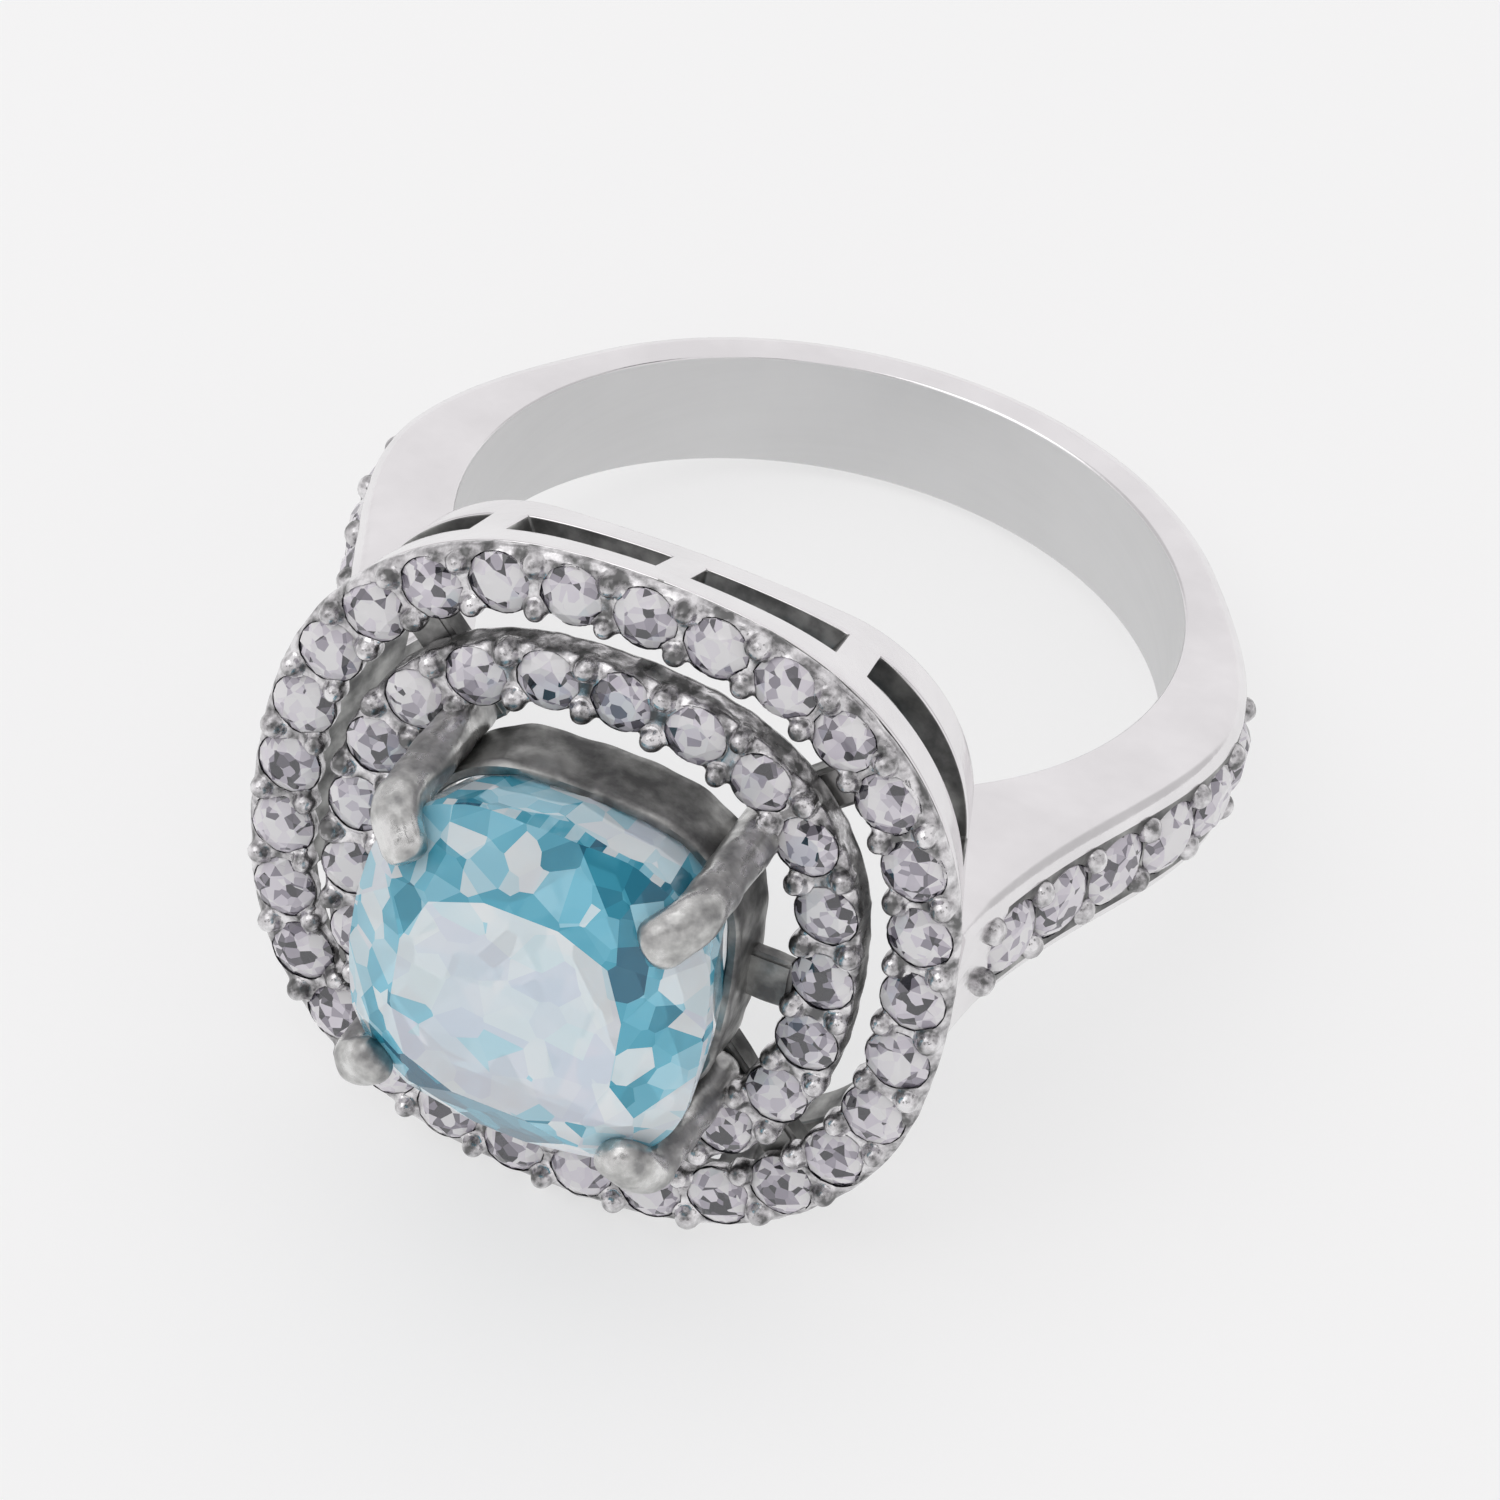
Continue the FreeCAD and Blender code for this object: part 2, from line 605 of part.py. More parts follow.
def build_ring():
    """Makes every sub-part in ring coordinates."""
    outer_stone = round_stone("outer_stone", "outer_stone_diameter")
    inner_stone = round_stone("inner_stone", "inner_stone_diameter")
    shoulder_stone = round_stone("shoulder_stone", "shoulder_stone_diameter")
    outer_seat = stone_seat("outer_seat", "outer_stone_diameter")
    inner_seat = stone_seat("inner_seat", "inner_stone_diameter")
    shoulder_seat = stone_seat("shoulder_seat", "shoulder_stone_diameter")
    halo_bead = bead("halo_bead", "bead_radius")
    shoulder_bead = bead("shoulder_bead", "shoulder_bead_radius")
    stone_space = make_centre_stone("centre_stone_space")
    prong_wire = make_prong_wire()
    document.recompute()

    outer_places, outer_beads = halo_places(
        OUTER_HALO, "outer_stone_inset", int(value("outer_stone_count")), value(OUTER_HALO_TOP))
    inner_places, inner_beads = halo_places(
        INNER_HALO, "inner_stone_inset", int(value("inner_stone_count")), value(INNER_HALO_TOP))
    outer_stones = copies(outer_stone, outer_places)
    inner_stones = copies(inner_stone, inner_places)
    outer_seats = fixed("outer_seats", Part.makeCompound(copies(outer_seat, outer_places)))
    inner_seats = fixed("inner_seats", Part.makeCompound(copies(inner_seat, inner_places)))
    inner_stone_space = fixed("inner_stone_space", Part.makeCompound(inner_stones))

    prong_turns = [Placement(Vector(), Rotation(Vector(0, 0, 1), 45 + 90 * quarter)) for quarter in range(4)]
    prong_shapes = [turned_copy(prong_wire.Shape, turn) for turn in prong_turns]
    prong_space = fixed("prong_spaces", Part.makeCompound(prong_shapes))

    outer_plate = padded_body("outer_halo_plate", HALO_BOTTOM, "outer_halo_thickness",
                              OUTER_HALO, inset(OUTER_HALO, "outer_halo_width"))
    outer_posts = fixed("outer_beads", Part.makeCompound(copies(halo_bead, outer_beads)))
    keep("outer_halo", beaded("outer_halo", outer_plate, outer_seats, outer_posts))
    inner_plate = padded_body("inner_halo_plate", HALO_BOTTOM, "inner_halo_thickness",
                              INNER_HALO, inset(INNER_HALO, "inner_halo_width"))
    inner_posts = fixed("inner_beads", Part.makeCompound(copies(halo_bead, inner_beads)))
    inner_set = beaded("inner_halo", inner_plate, inner_seats, inner_posts)
    keep("inner_halo", cut("inner_halo_prongs", inner_set, prong_space))

    outside, inside = make_gallery_form()
    gallery = cut("gallery", outside, inside, *make_window_tools(), outer_seats)
    keep("gallery", gallery)

    for number, strut in enumerate(make_struts()):
        inside_only = document.addObject("Part::MultiCommon", f"strut_within_{number}")
        inside_only.Shapes = [strut, inside]
        trimmed = cut(f"strut_{number}_trim", inside_only, outer_seats)
        keep(f"halo_strut_{number + 1}", trimmed)

    rail = padded_body("basket_rail_ring", RAIL_BOTTOM, "basket_rail_height",
                       BASKET_RAIL, inset(BASKET_RAIL, "basket_rail_wall"))
    keep("basket_rail", cut("basket_rail", rail, prong_space, stone_space))
    for number, shape in enumerate(prong_shapes):
        wire = fixed(f"prong_wire_{number}", shape)
        keep(f"prong_{number + 1}", cut(f"prong_{number}", wire, stone_space, inner_stone_space))
    for label, bridge in make_bridges().items():
        keep(label, cut(label, bridge, rail, inner_plate, inner_posts))
    keep("centre_stone", make_centre_stone("centre_stone_cut"))

    group_by_side("outer_halo_stones", outer_places, outer_stones)
    group_by_side("inner_halo_stones", inner_places, inner_stones)

    make_shank(shoulder_stone, shoulder_seat, shoulder_bead, outside)


def make_shank(stone, seat, post, head_space):
    """The shank and its shoulder stones: the blank less the seats, with beads between the stones."""
    beads = []
    seats = []
    for side, mirror in (("right", 1), ("left", -1)):
        places, bead_places = shoulder_places(mirror)
        beads += copies(post, bead_places)
        seats += copies(seat, places)
        for number, shape in enumerate(copies(stone, places), start=1):
            keep(f"shoulder_stone_{side}_{number}", fixed(f"shoulder_stone_{side}_{number}_cut", shape))
    set_shank = beaded("shank", fixed("shank_blank", shank_blank()),
                       fixed("shoulder_seats", Part.makeCompound(seats)),
                       fixed("shoulder_beads", Part.makeCompound(beads)))
    keep("shank", cut("shank_head", set_shank, head_space))


def beaded(name, metal, seats, beads):
    """Metal with its stone seats drilled and its beads raised between them."""
    return fuse(f"{name}_beaded", cut(f"{name}_drilled", metal, seats), beads)


def check_and_write():
    """Stops on a failed object, then writes one file for each sub-part."""
    faulty = [thing.Name for thing in document.Objects if {"Invalid", "Error"} & set(thing.State)]
    faulty += [label for label, thing in nodes.items() if thing.Shape.isNull() or not thing.Shape.isValid()]
    if faulty:
        raise RuntimeError(f"these objects failed: {faulty}")
    os.makedirs("parts", exist_ok=True)
    for label, thing in nodes.items():
        thing.Shape.exportStep(f"parts/{label}.step")


write_sizes()
build_ring()
document.recompute()
place = lying_down()
for thing in nodes.values():
    thing.Placement = place.multiply(thing.Placement)
document.recompute()
check_and_write()
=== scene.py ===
import json
import math
import random

import bmesh
import bpy
from mathutils import Matrix, Vector, noise


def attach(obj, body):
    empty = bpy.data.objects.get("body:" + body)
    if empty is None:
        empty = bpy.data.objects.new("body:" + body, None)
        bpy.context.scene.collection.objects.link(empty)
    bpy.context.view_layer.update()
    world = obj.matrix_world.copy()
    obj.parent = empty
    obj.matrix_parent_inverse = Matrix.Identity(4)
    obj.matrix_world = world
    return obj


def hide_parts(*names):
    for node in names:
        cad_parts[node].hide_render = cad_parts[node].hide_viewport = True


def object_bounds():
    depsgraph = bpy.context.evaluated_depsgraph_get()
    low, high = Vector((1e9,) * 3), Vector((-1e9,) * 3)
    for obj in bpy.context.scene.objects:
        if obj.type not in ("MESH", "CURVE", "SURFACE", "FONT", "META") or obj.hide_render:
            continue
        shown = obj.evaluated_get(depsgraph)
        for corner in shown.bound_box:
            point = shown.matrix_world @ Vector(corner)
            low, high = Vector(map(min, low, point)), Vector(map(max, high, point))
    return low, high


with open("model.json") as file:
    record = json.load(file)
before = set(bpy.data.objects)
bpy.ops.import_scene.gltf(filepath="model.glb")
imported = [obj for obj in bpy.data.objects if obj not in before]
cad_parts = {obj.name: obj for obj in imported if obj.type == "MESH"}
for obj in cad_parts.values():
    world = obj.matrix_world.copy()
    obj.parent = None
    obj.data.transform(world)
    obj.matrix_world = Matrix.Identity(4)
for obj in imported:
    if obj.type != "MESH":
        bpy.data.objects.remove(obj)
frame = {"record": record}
cad_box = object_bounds()

# A cocktail ring: polished shank with stone-set shoulders, pierced gallery, two halos of small round
# stones held by beads, and a faceted blue cushion stone in four prongs. Every piece is drawn in ring
# coordinates in millimetres (X across the finger, Y along the finger hole, Z out through the head, from
# the centre of the finger hole), and LAY takes it into the model's own frame in metres.

MM = 0.001
BORE = frame["record"]["mounts"][0]
HOLE = Vector(BORE["axis"]).normalized()
LAY = Matrix.Translation(Vector(BORE["pos_m"])) @ Matrix((
    (MM, 0, 0, 0),
    (0, HOLE.y * MM, -HOLE.z * MM, 0),
    (0, HOLE.z * MM, HOLE.y * MM, 0),
    (0, 0, 0, 1)))

# levels
GALLERY_BOTTOM = 9.35
HALO_BOTTOM = 12.4
OUTER_TOP = HALO_BOTTOM + 0.55
INNER_TOP = HALO_BOTTOM + 1.05
GIRDLE_BOTTOM = HALO_BOTTOM + 3.85
GIRDLE_TOP = GIRDLE_BOTTOM + 0.18
TABLE_HEIGHT = 1.22
CULET_DROP = 4.45

# cushion outlines: half width, side radius, corner radius
OUTER_HALO = (8.46, 15.8, 7.0)
INNER_HALO = (6.4, 12.0, 5.2)
GALLERY_BASE = (7.2, 42.0, 3.9)
GALLERY_TOP = (8.34, 15.8, 6.8)
CENTRE_STONE = (4.15, 13.2, 2.82)
BASKET_RAIL = (3.98, 13.03, 2.65)

# gallery: wall, and its windows between two levels
GALLERY_WALL = 0.7
WINDOW_LEVELS = (10.35, 11.45)
WINDOW_BAR = 0.82
WINDOW_LENGTH = 3.45
CORNER_WINDOW_END = 3.3

# shank; angles in degrees from the head
BORE_RADIUS = 8.65
SHANK_OUTER = 9.8
SHANK_HALF_WIDTH = 1.55
OUTER_ROUND = 0.45
INNER_ROUND = 0.14
OPENING_ANGLE = 44.5
SHOULDER_START = 124.0
SHOULDER_TOP = HALO_BOTTOM - 1.05
SHOULDER_STAND_OFF = 0.1
NECK_LEVEL = HALO_BOTTOM - 6.0
NECK_THICKNESS = 0.52
WIDEST_LEVEL = 0.5
WIDEST_THICKNESS = 2.05
FIRST_SHOULDER_STONE = 2.5
SHOULDER_PITCH = 1.95
SHOULDER_BEAD_OFFSET = 0.72
SHOULDER_SINK = 0.06

# basket rail, struts, bridges and prongs
RAIL_WALL = 0.28
RAIL_BOTTOM = HALO_BOTTOM + 0.25
RAIL_TOP = RAIL_BOTTOM + 1.8
PRONG_RADIUS = 0.54
PRONG_BITE = 0.16
PRONG_BEND_RADIUS = 0.7
PRONG_BEND_ANGLE = 62

# round stones
OUTER_STONE = 1.5
INNER_STONE = 1.45
SHOULDER_STONE = 1.86
STONE_SINK = 0.19
PAVILION = 0.42
CROWN = 0.17

SEED = 7


# ---- outlines and curves ----

def cushion_arcs(half, side_radius, corner_radius):
    """(centre x, centre y, radius, start angle, end angle) of the eight arcs of a cushion outline."""
    reach = side_radius - half
    corner = (math.sqrt(2 * (side_radius - corner_radius) ** 2 - reach ** 2) - reach) / 2
    blend = math.atan2(corner + reach, corner)
    sweep = math.pi / 2 - blend
    arcs = []
    for quarter in range(4):
        turn = quarter * math.pi / 2
        diagonal = turn + math.pi / 4
        distance = corner * math.sqrt(2)
        arcs.append((-reach * math.cos(turn), -reach * math.sin(turn), side_radius,
                     turn - sweep, turn + sweep))
        arcs.append((distance * math.cos(diagonal), distance * math.sin(diagonal), corner_radius,
                     turn + sweep, turn + blend))
    return arcs


def cushion_at(outline, fractions):
    """(point, outward) on a cushion outline at fractions of its length from the middle of the +Y side."""
    arcs = cushion_arcs(*outline)
    lengths = [radius * (end - start) for _, _, radius, start, end in arcs]
    around = sum(lengths)
    first = around / 4 + lengths[0] / 2
    places = []
    for fraction in fractions:
        distance = (first + fraction * around) % around
        index = 0
        while distance > lengths[index] and index < 7:
            distance -= lengths[index]
            index += 1
        x, y, radius, start, _ = arcs[index]
        angle = start + distance / radius
        outward = Vector((math.cos(angle), math.sin(angle), 0))
        places.append((Vector((x, y, 0)) + outward * radius, outward))
    return places


def evenly(count, shift=0.0):
    """Fractions spread evenly round an outline."""
    return [(number + shift) / count for number in range(count)]


def inset(outline, amount):
    """The same cushion outline, moved inwards all round."""
    return tuple(size - amount for size in outline)


def corner_distance(outline):
    """How far a cushion outline's corner is from its centre."""
    x, y, radius, _, _ = cushion_arcs(*outline)[1]
    return math.hypot(x, y) + radius


def clamped_spline(points, first_way, last_way, count):
    """Points along the smooth curve through the points, leaving and arriving in the given directions."""
    knots = [0.0]
    for one, two in zip(points, points[1:]):
        knots.append(knots[-1] + (two - one).length)
    size = len(points)
    spans = [knots[i + 1] - knots[i] for i in range(size - 1)]
    ways = [first_way.normalized()] + [Vector((0, 0, 0))] * (size - 2) + [last_way.normalized()]
    for _ in range(60):
        for i in range(1, size - 1):
            before, after = spans[i - 1], spans[i]
            arriving = (points[i] - points[i - 1]) * after / before
            leaving = (points[i + 1] - points[i]) * before / after
            pull = 3 * (arriving + leaving)
            ways[i] = (pull - after * ways[i - 1] - before * ways[i + 1]) / (2 * (before + after))
    curve = []
    for step in range(count + 1):
        where = knots[-1] * step / count
        i = max(index for index in range(size - 1) if knots[index] <= where + 1e-9)
        u = (where - knots[i]) / spans[i]
        blend = 3 * u ** 2 - 2 * u ** 3
        ends = points[i] * (1 - blend) + points[i + 1] * blend
        slopes = (u ** 3 - 2 * u ** 2 + u) * ways[i] + (u ** 3 - u ** 2) * ways[i + 1]
        curve.append(ends + slopes * spans[i])
    return curve


def along(curve, distances):
    """(point, direction) at distances along a run of points."""
    places = []
    for distance in distances:
        left = distance
        for one, two in zip(curve, curve[1:]):
            step = (two - one).length
            if left <= step or two is curve[-1]:
                places.append((one + (two - one) * (left / step), (two - one).normalized()))
                break
            left -= step
    return places


def length_of(curve):
    """The length of a run of points."""
    return sum((two - one).length for one, two in zip(curve, curve[1:]))


# ---- meshes ----

class Shape:
    """Vertices and faces in ring millimetres, with a material number for each face."""

    def __init__(self):
        self.points = []
        self.faces = []
        self.looks = []

    def add(self, points, faces, place=None, look=0):
        start = len(self.points)
        self.points += [place @ Vector(point) if place else Vector(point) for point in points]
        self.faces += [tuple(index + start for index in face) for face in faces]
        self.looks += [look] * len(faces)
        return self


def grid_faces(rows, columns, close_rows=False):
    """Quads of a grid of points whose columns close on themselves."""
    faces = []
    for row in range(rows if close_rows else rows - 1):
        for column in range(columns):
            following = (column + 1) % columns
            upper = (row + 1) % rows
            faces.append((row * columns + column, row * columns + following,
                          upper * columns + following, upper * columns + column))
    return faces


def capped_faces(rows, columns):
    """A grid closed by a face at each end."""
    faces = grid_faces(rows, columns)
    faces.append(tuple(reversed(range(columns))))
    faces.append(tuple(range((rows - 1) * columns, rows * columns)))
    return faces


def turned(profile, sides):
    """Points and faces of a profile of (radius, level) turned about Z; its ends lie on the axis."""
    points = [(0, 0, profile[0][1])]
    for radius, level in profile[1:-1]:
        for side in range(sides):
            angle = 2 * math.pi * side / sides
            points.append((radius * math.cos(angle), radius * math.sin(angle), level))
    points.append((0, 0, profile[-1][1]))
    faces = []
    rings = len(profile) - 2
    for side in range(sides):
        following = (side + 1) % sides
        faces.append((0, 1 + following, 1 + side))
        top = 1 + (rings - 1) * sides
        faces.append((top + side, top + following, len(points) - 1))
        for ring in range(rings - 1):
            low = 1 + ring * sides
            faces.append((low + side, low + following, low + sides + following, low + sides + side))
    return points, faces


def standing(point, way):
    """The matrix that stands something along a direction at a point."""
    return Matrix.Translation(point) @ way.to_track_quat("Z", "Y").to_matrix().to_4x4()


def raw_object(name, shape):
    """A mesh object still in ring millimetres."""
    mesh = bpy.data.meshes.new(name)
    mesh.from_pydata([tuple(point) for point in shape.points], [], shape.faces)
    mesh.polygons.foreach_set("material_index", shape.looks)
    thing = bpy.data.objects.new(name, mesh)
    bpy.context.scene.collection.objects.link(thing)
    bm = bmesh.new()
    bm.from_mesh(mesh)
    bmesh.ops.recalc_face_normals(bm, faces=bm.faces)
    bm.to_mesh(mesh)
    bm.free()
    return thing


def settle(thing):
    """Applies an object's modifiers."""
    bpy.context.view_layer.update()
    graph = bpy.context.evaluated_depsgraph_get()
    mesh = bpy.data.meshes.new_from_object(thing.evaluated_get(graph))
    thing.modifiers.clear()
    thing.data = mesh


def subtract(thing, tool_shape):
    """Cuts a shape out of an object; the cut faces keep the tool's material number."""
    tool = raw_object("tool", tool_shape)
    for material in thing.data.materials:
        tool.data.materials.append(material)
    cutting = thing.modifiers.new("cut", "BOOLEAN")
    cutting.operation = "DIFFERENCE"
    cutting.solver = "MANIFOLD"
    cutting.object = tool
    settle(thing)
    bpy.data.objects.remove(tool)


def melt(thing, voxel, smoothing):
    """Merges overlapping bodies into one soft cast skin."""
    remesh = thing.modifiers.new("melt", "REMESH")
    remesh.mode = "VOXEL"
    remesh.voxel_size = voxel
    soften = thing.modifiers.new("soften", "SMOOTH")
    soften.factor = 0.5
    soften.iterations = smoothing
    settle(thing)


def roughen(thing, size, amount):
    """Moves vertices along their normals by smooth noise, as in an unpolished casting."""
    ways = [vertex.normal.copy() for vertex in thing.data.vertices]
    places = [vertex.co.copy() for vertex in thing.data.vertices]
    moved = [place + way * noise.noise(place / size) * amount for place, way in zip(places, ways)]
    thing.data.vertices.foreach_set("co", [number for place in moved for number in place])
    thing.data.update()


def finish_piece(thing, nodes=(), crease=35):
    """Lays the piece in the model's frame, sets its shading and ties it to the model."""
    for polygon in thing.data.polygons:
        polygon.use_smooth = crease > 0
    if crease > 0:
        thing.data.set_sharp_from_angle(angle=math.radians(crease))
    thing.data.transform(LAY)
    thing.data.update()
    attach(thing, "root")
    if nodes:
        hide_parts(*nodes)
    return thing


# ---- materials ----

def paint_facet_reflections(thing, randomness):
    """Gives each facet its own number, which the stone's material turns into a painted reflection: dark,
    tinted or white.
    """
    facet = thing.data.attributes.new("facet", "FLOAT", "FACE")
    facet.data.foreach_set("value", [randomness.random() for _ in thing.data.polygons])


class Look:
    """A node material with its main shader, and short ways to add nodes to it."""

    def __init__(self, name, colour, metallic, roughness, **sockets):
        self.material = bpy.data.materials.new(name)
        self.material.use_nodes = True
        self.tree = self.material.node_tree
        self.shader = self.tree.nodes["Principled BSDF"]
        self.shader.inputs["Base Color"].default_value = (*colour, 1)
        self.shader.inputs["Metallic"].default_value = metallic
        self.shader.inputs["Roughness"].default_value = roughness
        for socket, number in sockets.items():
            self.shader.inputs[socket.replace("_", " ")].default_value = number

    def node(self, kind, **settings):
        made = self.tree.nodes.new(kind)
        for name, setting in settings.items():
            if name in made.inputs:
                made.inputs[name].default_value = setting
            else:
                setattr(made, name, setting)
        return made

    def link(self, source, output, target, socket):
        self.tree.links.new(source.outputs[output], target.inputs[socket])

    def texture(self, scale, detail=4.0, stretch=(1, 1, 1)):
        """Noise in object space, so many features to the millimetre, stretched along an axis."""
        place = self.node("ShaderNodeTexCoord")
        mapping = self.node("ShaderNodeMapping")
        mapping.inputs["Scale"].default_value = [scale / MM * factor for factor in stretch]
        self.link(place, "Object", mapping, "Vector")
        grain = self.node("ShaderNodeTexNoise", Scale=1.0, Detail=detail, Roughness=0.55)
        self.link(mapping, "Vector", grain, "Vector")
        return grain

    def shards(self, scale):
        """Straight-edged cells in object space, so many to the millimetre, each with its own value."""
        place = self.node("ShaderNodeTexCoord")
        cells = self.node("ShaderNodeTexVoronoi", Scale=scale / MM)
        self.link(place, "Object", cells, "Vector")
        return cells

    def ramp(self, source, output, stops, target, socket):
        """Maps a value through (position, colour or number) stops to a socket."""
        ramp = self.node("ShaderNodeValToRGB")
        elements = ramp.color_ramp.elements
        while len(elements) < len(stops):
            elements.new(0.5)
        for element, (position, colour) in zip(elements, stops):
            element.position = position
            shades = colour if isinstance(colour, tuple) else (colour,) * 3
            element.color = (*shades, 1)
        self.link(source, output, ramp, "Fac")
        self.link(ramp, "Color", target, socket)
        return ramp

    def bump(self, source, output, depth, strength=1.0):
        """Raises the surface by a value; depth in millimetres."""
        bump = self.node("ShaderNodeBump", Strength=strength, Distance=depth * MM)
        self.link(source, output, bump, "Height")
        self.link(bump, "Normal", self.shader, "Normal")


def polished_look():
    """Rhodium-white polished silver with faint polishing lines and small handling marks."""
    look = Look("polished_silver", (0.93, 0.915, 0.925), 1.0, 0.16)
    lines = look.texture(1.2, stretch=(1, 1, 9))
    look.ramp(lines, "Fac", [(0.35, 0.1), (0.7, 0.24)], look.shader, "Roughness")
    tone = look.texture(0.35)
    look.ramp(tone, "Fac", [(0.35, (0.78, 0.765, 0.775)), (0.65, (0.86, 0.845, 0.855))],
              look.shader, "Base Color")
    grain = look.texture(5.0)
    look.bump(grain, "Fac", 0.008, 0.5)
    return look.material


def bore_look():
    """The inside of the finger hole: even grey, brushed round the finger."""
    look = Look("bore_silver", (0.72, 0.72, 0.72), 0.35, 0.5)
    lines = look.texture(0.6, stretch=(0.4, 0.4, 14))
    look.ramp(lines, "Fac", [(0.3, 0.42), (0.7, 0.58)], look.shader, "Roughness")
    tone = look.texture(0.2)
    look.ramp(tone, "Fac", [(0.3, 0.7), (0.7, 0.75)], look.shader, "Base Color")
    return look.material


def cast_and_shade_look():
    """Unpolished cast silver: rough and bumpy, with a dark grey skin of darker and brighter patches that is
    painted shade on the recessed and hidden parts it covers.
    """
    look = Look("cast_silver", (0.4, 0.4, 0.4), 1.0, 0.42)
    skin = look.texture(1.0, detail=10.0)
    # dark grey tones: painted shade on the recessed and hidden parts that wear this material
    tones = [(0.36, (0.14, 0.14, 0.14)), (0.5, (0.26, 0.26, 0.255)), (0.64, (0.42, 0.42, 0.41))]
    look.ramp(skin, "Fac", tones, look.shader, "Base Color")
    look.ramp(skin, "Fac", [(0.3, 0.6), (0.7, 0.3)], look.shader, "Roughness")
    look.bump(skin, "Fac", 0.04, 0.8)
    return look.material


def setting_look():
    """The metal between the small stones: bright worn high spots, greyer hollows."""
    look = Look("setting_silver", (0.8, 0.79, 0.79), 1.0, 0.2)
    skin = look.texture(2.2)
    tones = [(0.38, (0.16, 0.16, 0.16)), (0.5, (0.5, 0.49, 0.5)), (0.64, (0.8, 0.79, 0.8))]
    look.ramp(skin, "Fac", tones, look.shader, "Base Color")
    look.ramp(skin, "Fac", [(0.3, 0.34), (0.7, 0.14)], look.shader, "Roughness")
    look.bump(skin, "Fac", 0.03, 0.6)
    return look.material


def seat_shade_look():
    """The drilled seats under the stones: dull metal painted dark grey, as the shade round and under each
    stone.
    """
    look = Look("seat_painted_shade", (0.2, 0.2, 0.21), 1.0, 0.4)
    skin = look.texture(4.0)
    # dark grey all over: painted shade
    look.ramp(skin, "Fac", [(0.35, (0.1, 0.1, 0.11)), (0.65, (0.42, 0.42, 0.44))], look.shader, "Base Color")
    return look.material


def prong_look():
    """Worn prong wire: bright burnished patches and grey rough ones."""
    look = Look("prong_silver", (0.7, 0.7, 0.69), 1.0, 0.25)
    skin = look.texture(1.3, detail=10.0)
    tones = [(0.36, (0.28, 0.28, 0.28)), (0.5, (0.5, 0.5, 0.49)), (0.64, (0.76, 0.76, 0.75))]
    look.ramp(skin, "Fac", tones, look.shader, "Base Color")
    look.ramp(skin, "Fac", [(0.3, 0.42), (0.7, 0.18)], look.shader, "Roughness")
    look.bump(skin, "Fac", 0.05, 0.8)
    return look.material


# colours painted on a stone's facets and shards, from the darkest upwards: the stone's own hue, with painted
# reflections that turn facets dark or white
CLEAR_TINTS_AND_PAINTED_REFLECTIONS = [
    (0.26, (0.03, 0.03, 0.04)),
    (0.36, (0.36, 0.33, 0.4)),
    (0.48, (0.86, 0.81, 0.9)),
    (0.66, (1.0, 0.99, 1.0)),
]
BLUE_TINTS_AND_PAINTED_REFLECTIONS = [
    (0.22, (0.02, 0.14, 0.23)),
    (0.32, (0.05, 0.4, 0.55)),
    (0.44, (0.2, 0.64, 0.82)),
    (0.56, (0.5, 0.83, 0.95)),
    (0.66, (0.97, 1.0, 1.0)),
    (0.95, (0.84, 0.86, 0.95)),
]
# the number given to the centre stone's table: the top stop, a painted reflection of the light
TABLE_PAINTED_REFLECTION = 1.1
# how much each facet's number and each shard's value weigh in the painted reflections
FACET_REFLECTION_SHARE = 0.45
SHARD_REFLECTION_SHARE = 0.6


def stone_look(name, tints_and_reflections, index, clearness, shard_scale):
    """A half-clear faceted stone whose base colour is painted reflection and refraction: straight-edged
    shards for what shows through each facet, and each facet painted its own brightness, over the stone's own
    hue.
    """
    look = Look(name, tints_and_reflections[-1][1], 0.0, 0.0, IOR=index, Transmission_Weight=clearness)
    facet = look.node("ShaderNodeAttribute", attribute_name="facet")
    share = look.node("ShaderNodeMath", operation="MULTIPLY")
    share.inputs[1].default_value = FACET_REFLECTION_SHARE
    look.link(facet, "Fac", share, 0)
    blend = look.node("ShaderNodeMath", operation="MULTIPLY_ADD")
    blend.inputs[1].default_value = SHARD_REFLECTION_SHARE
    look.link(look.shards(shard_scale), "Color", blend, 0)
    look.link(share, "Value", blend, 2)
    # the ramp turns them into the painted reflections of the base colour
    look.ramp(blend, "Value", tints_and_reflections, look.shader, "Base Color")
    return look.material


# ---- small stones and the beads round them ----

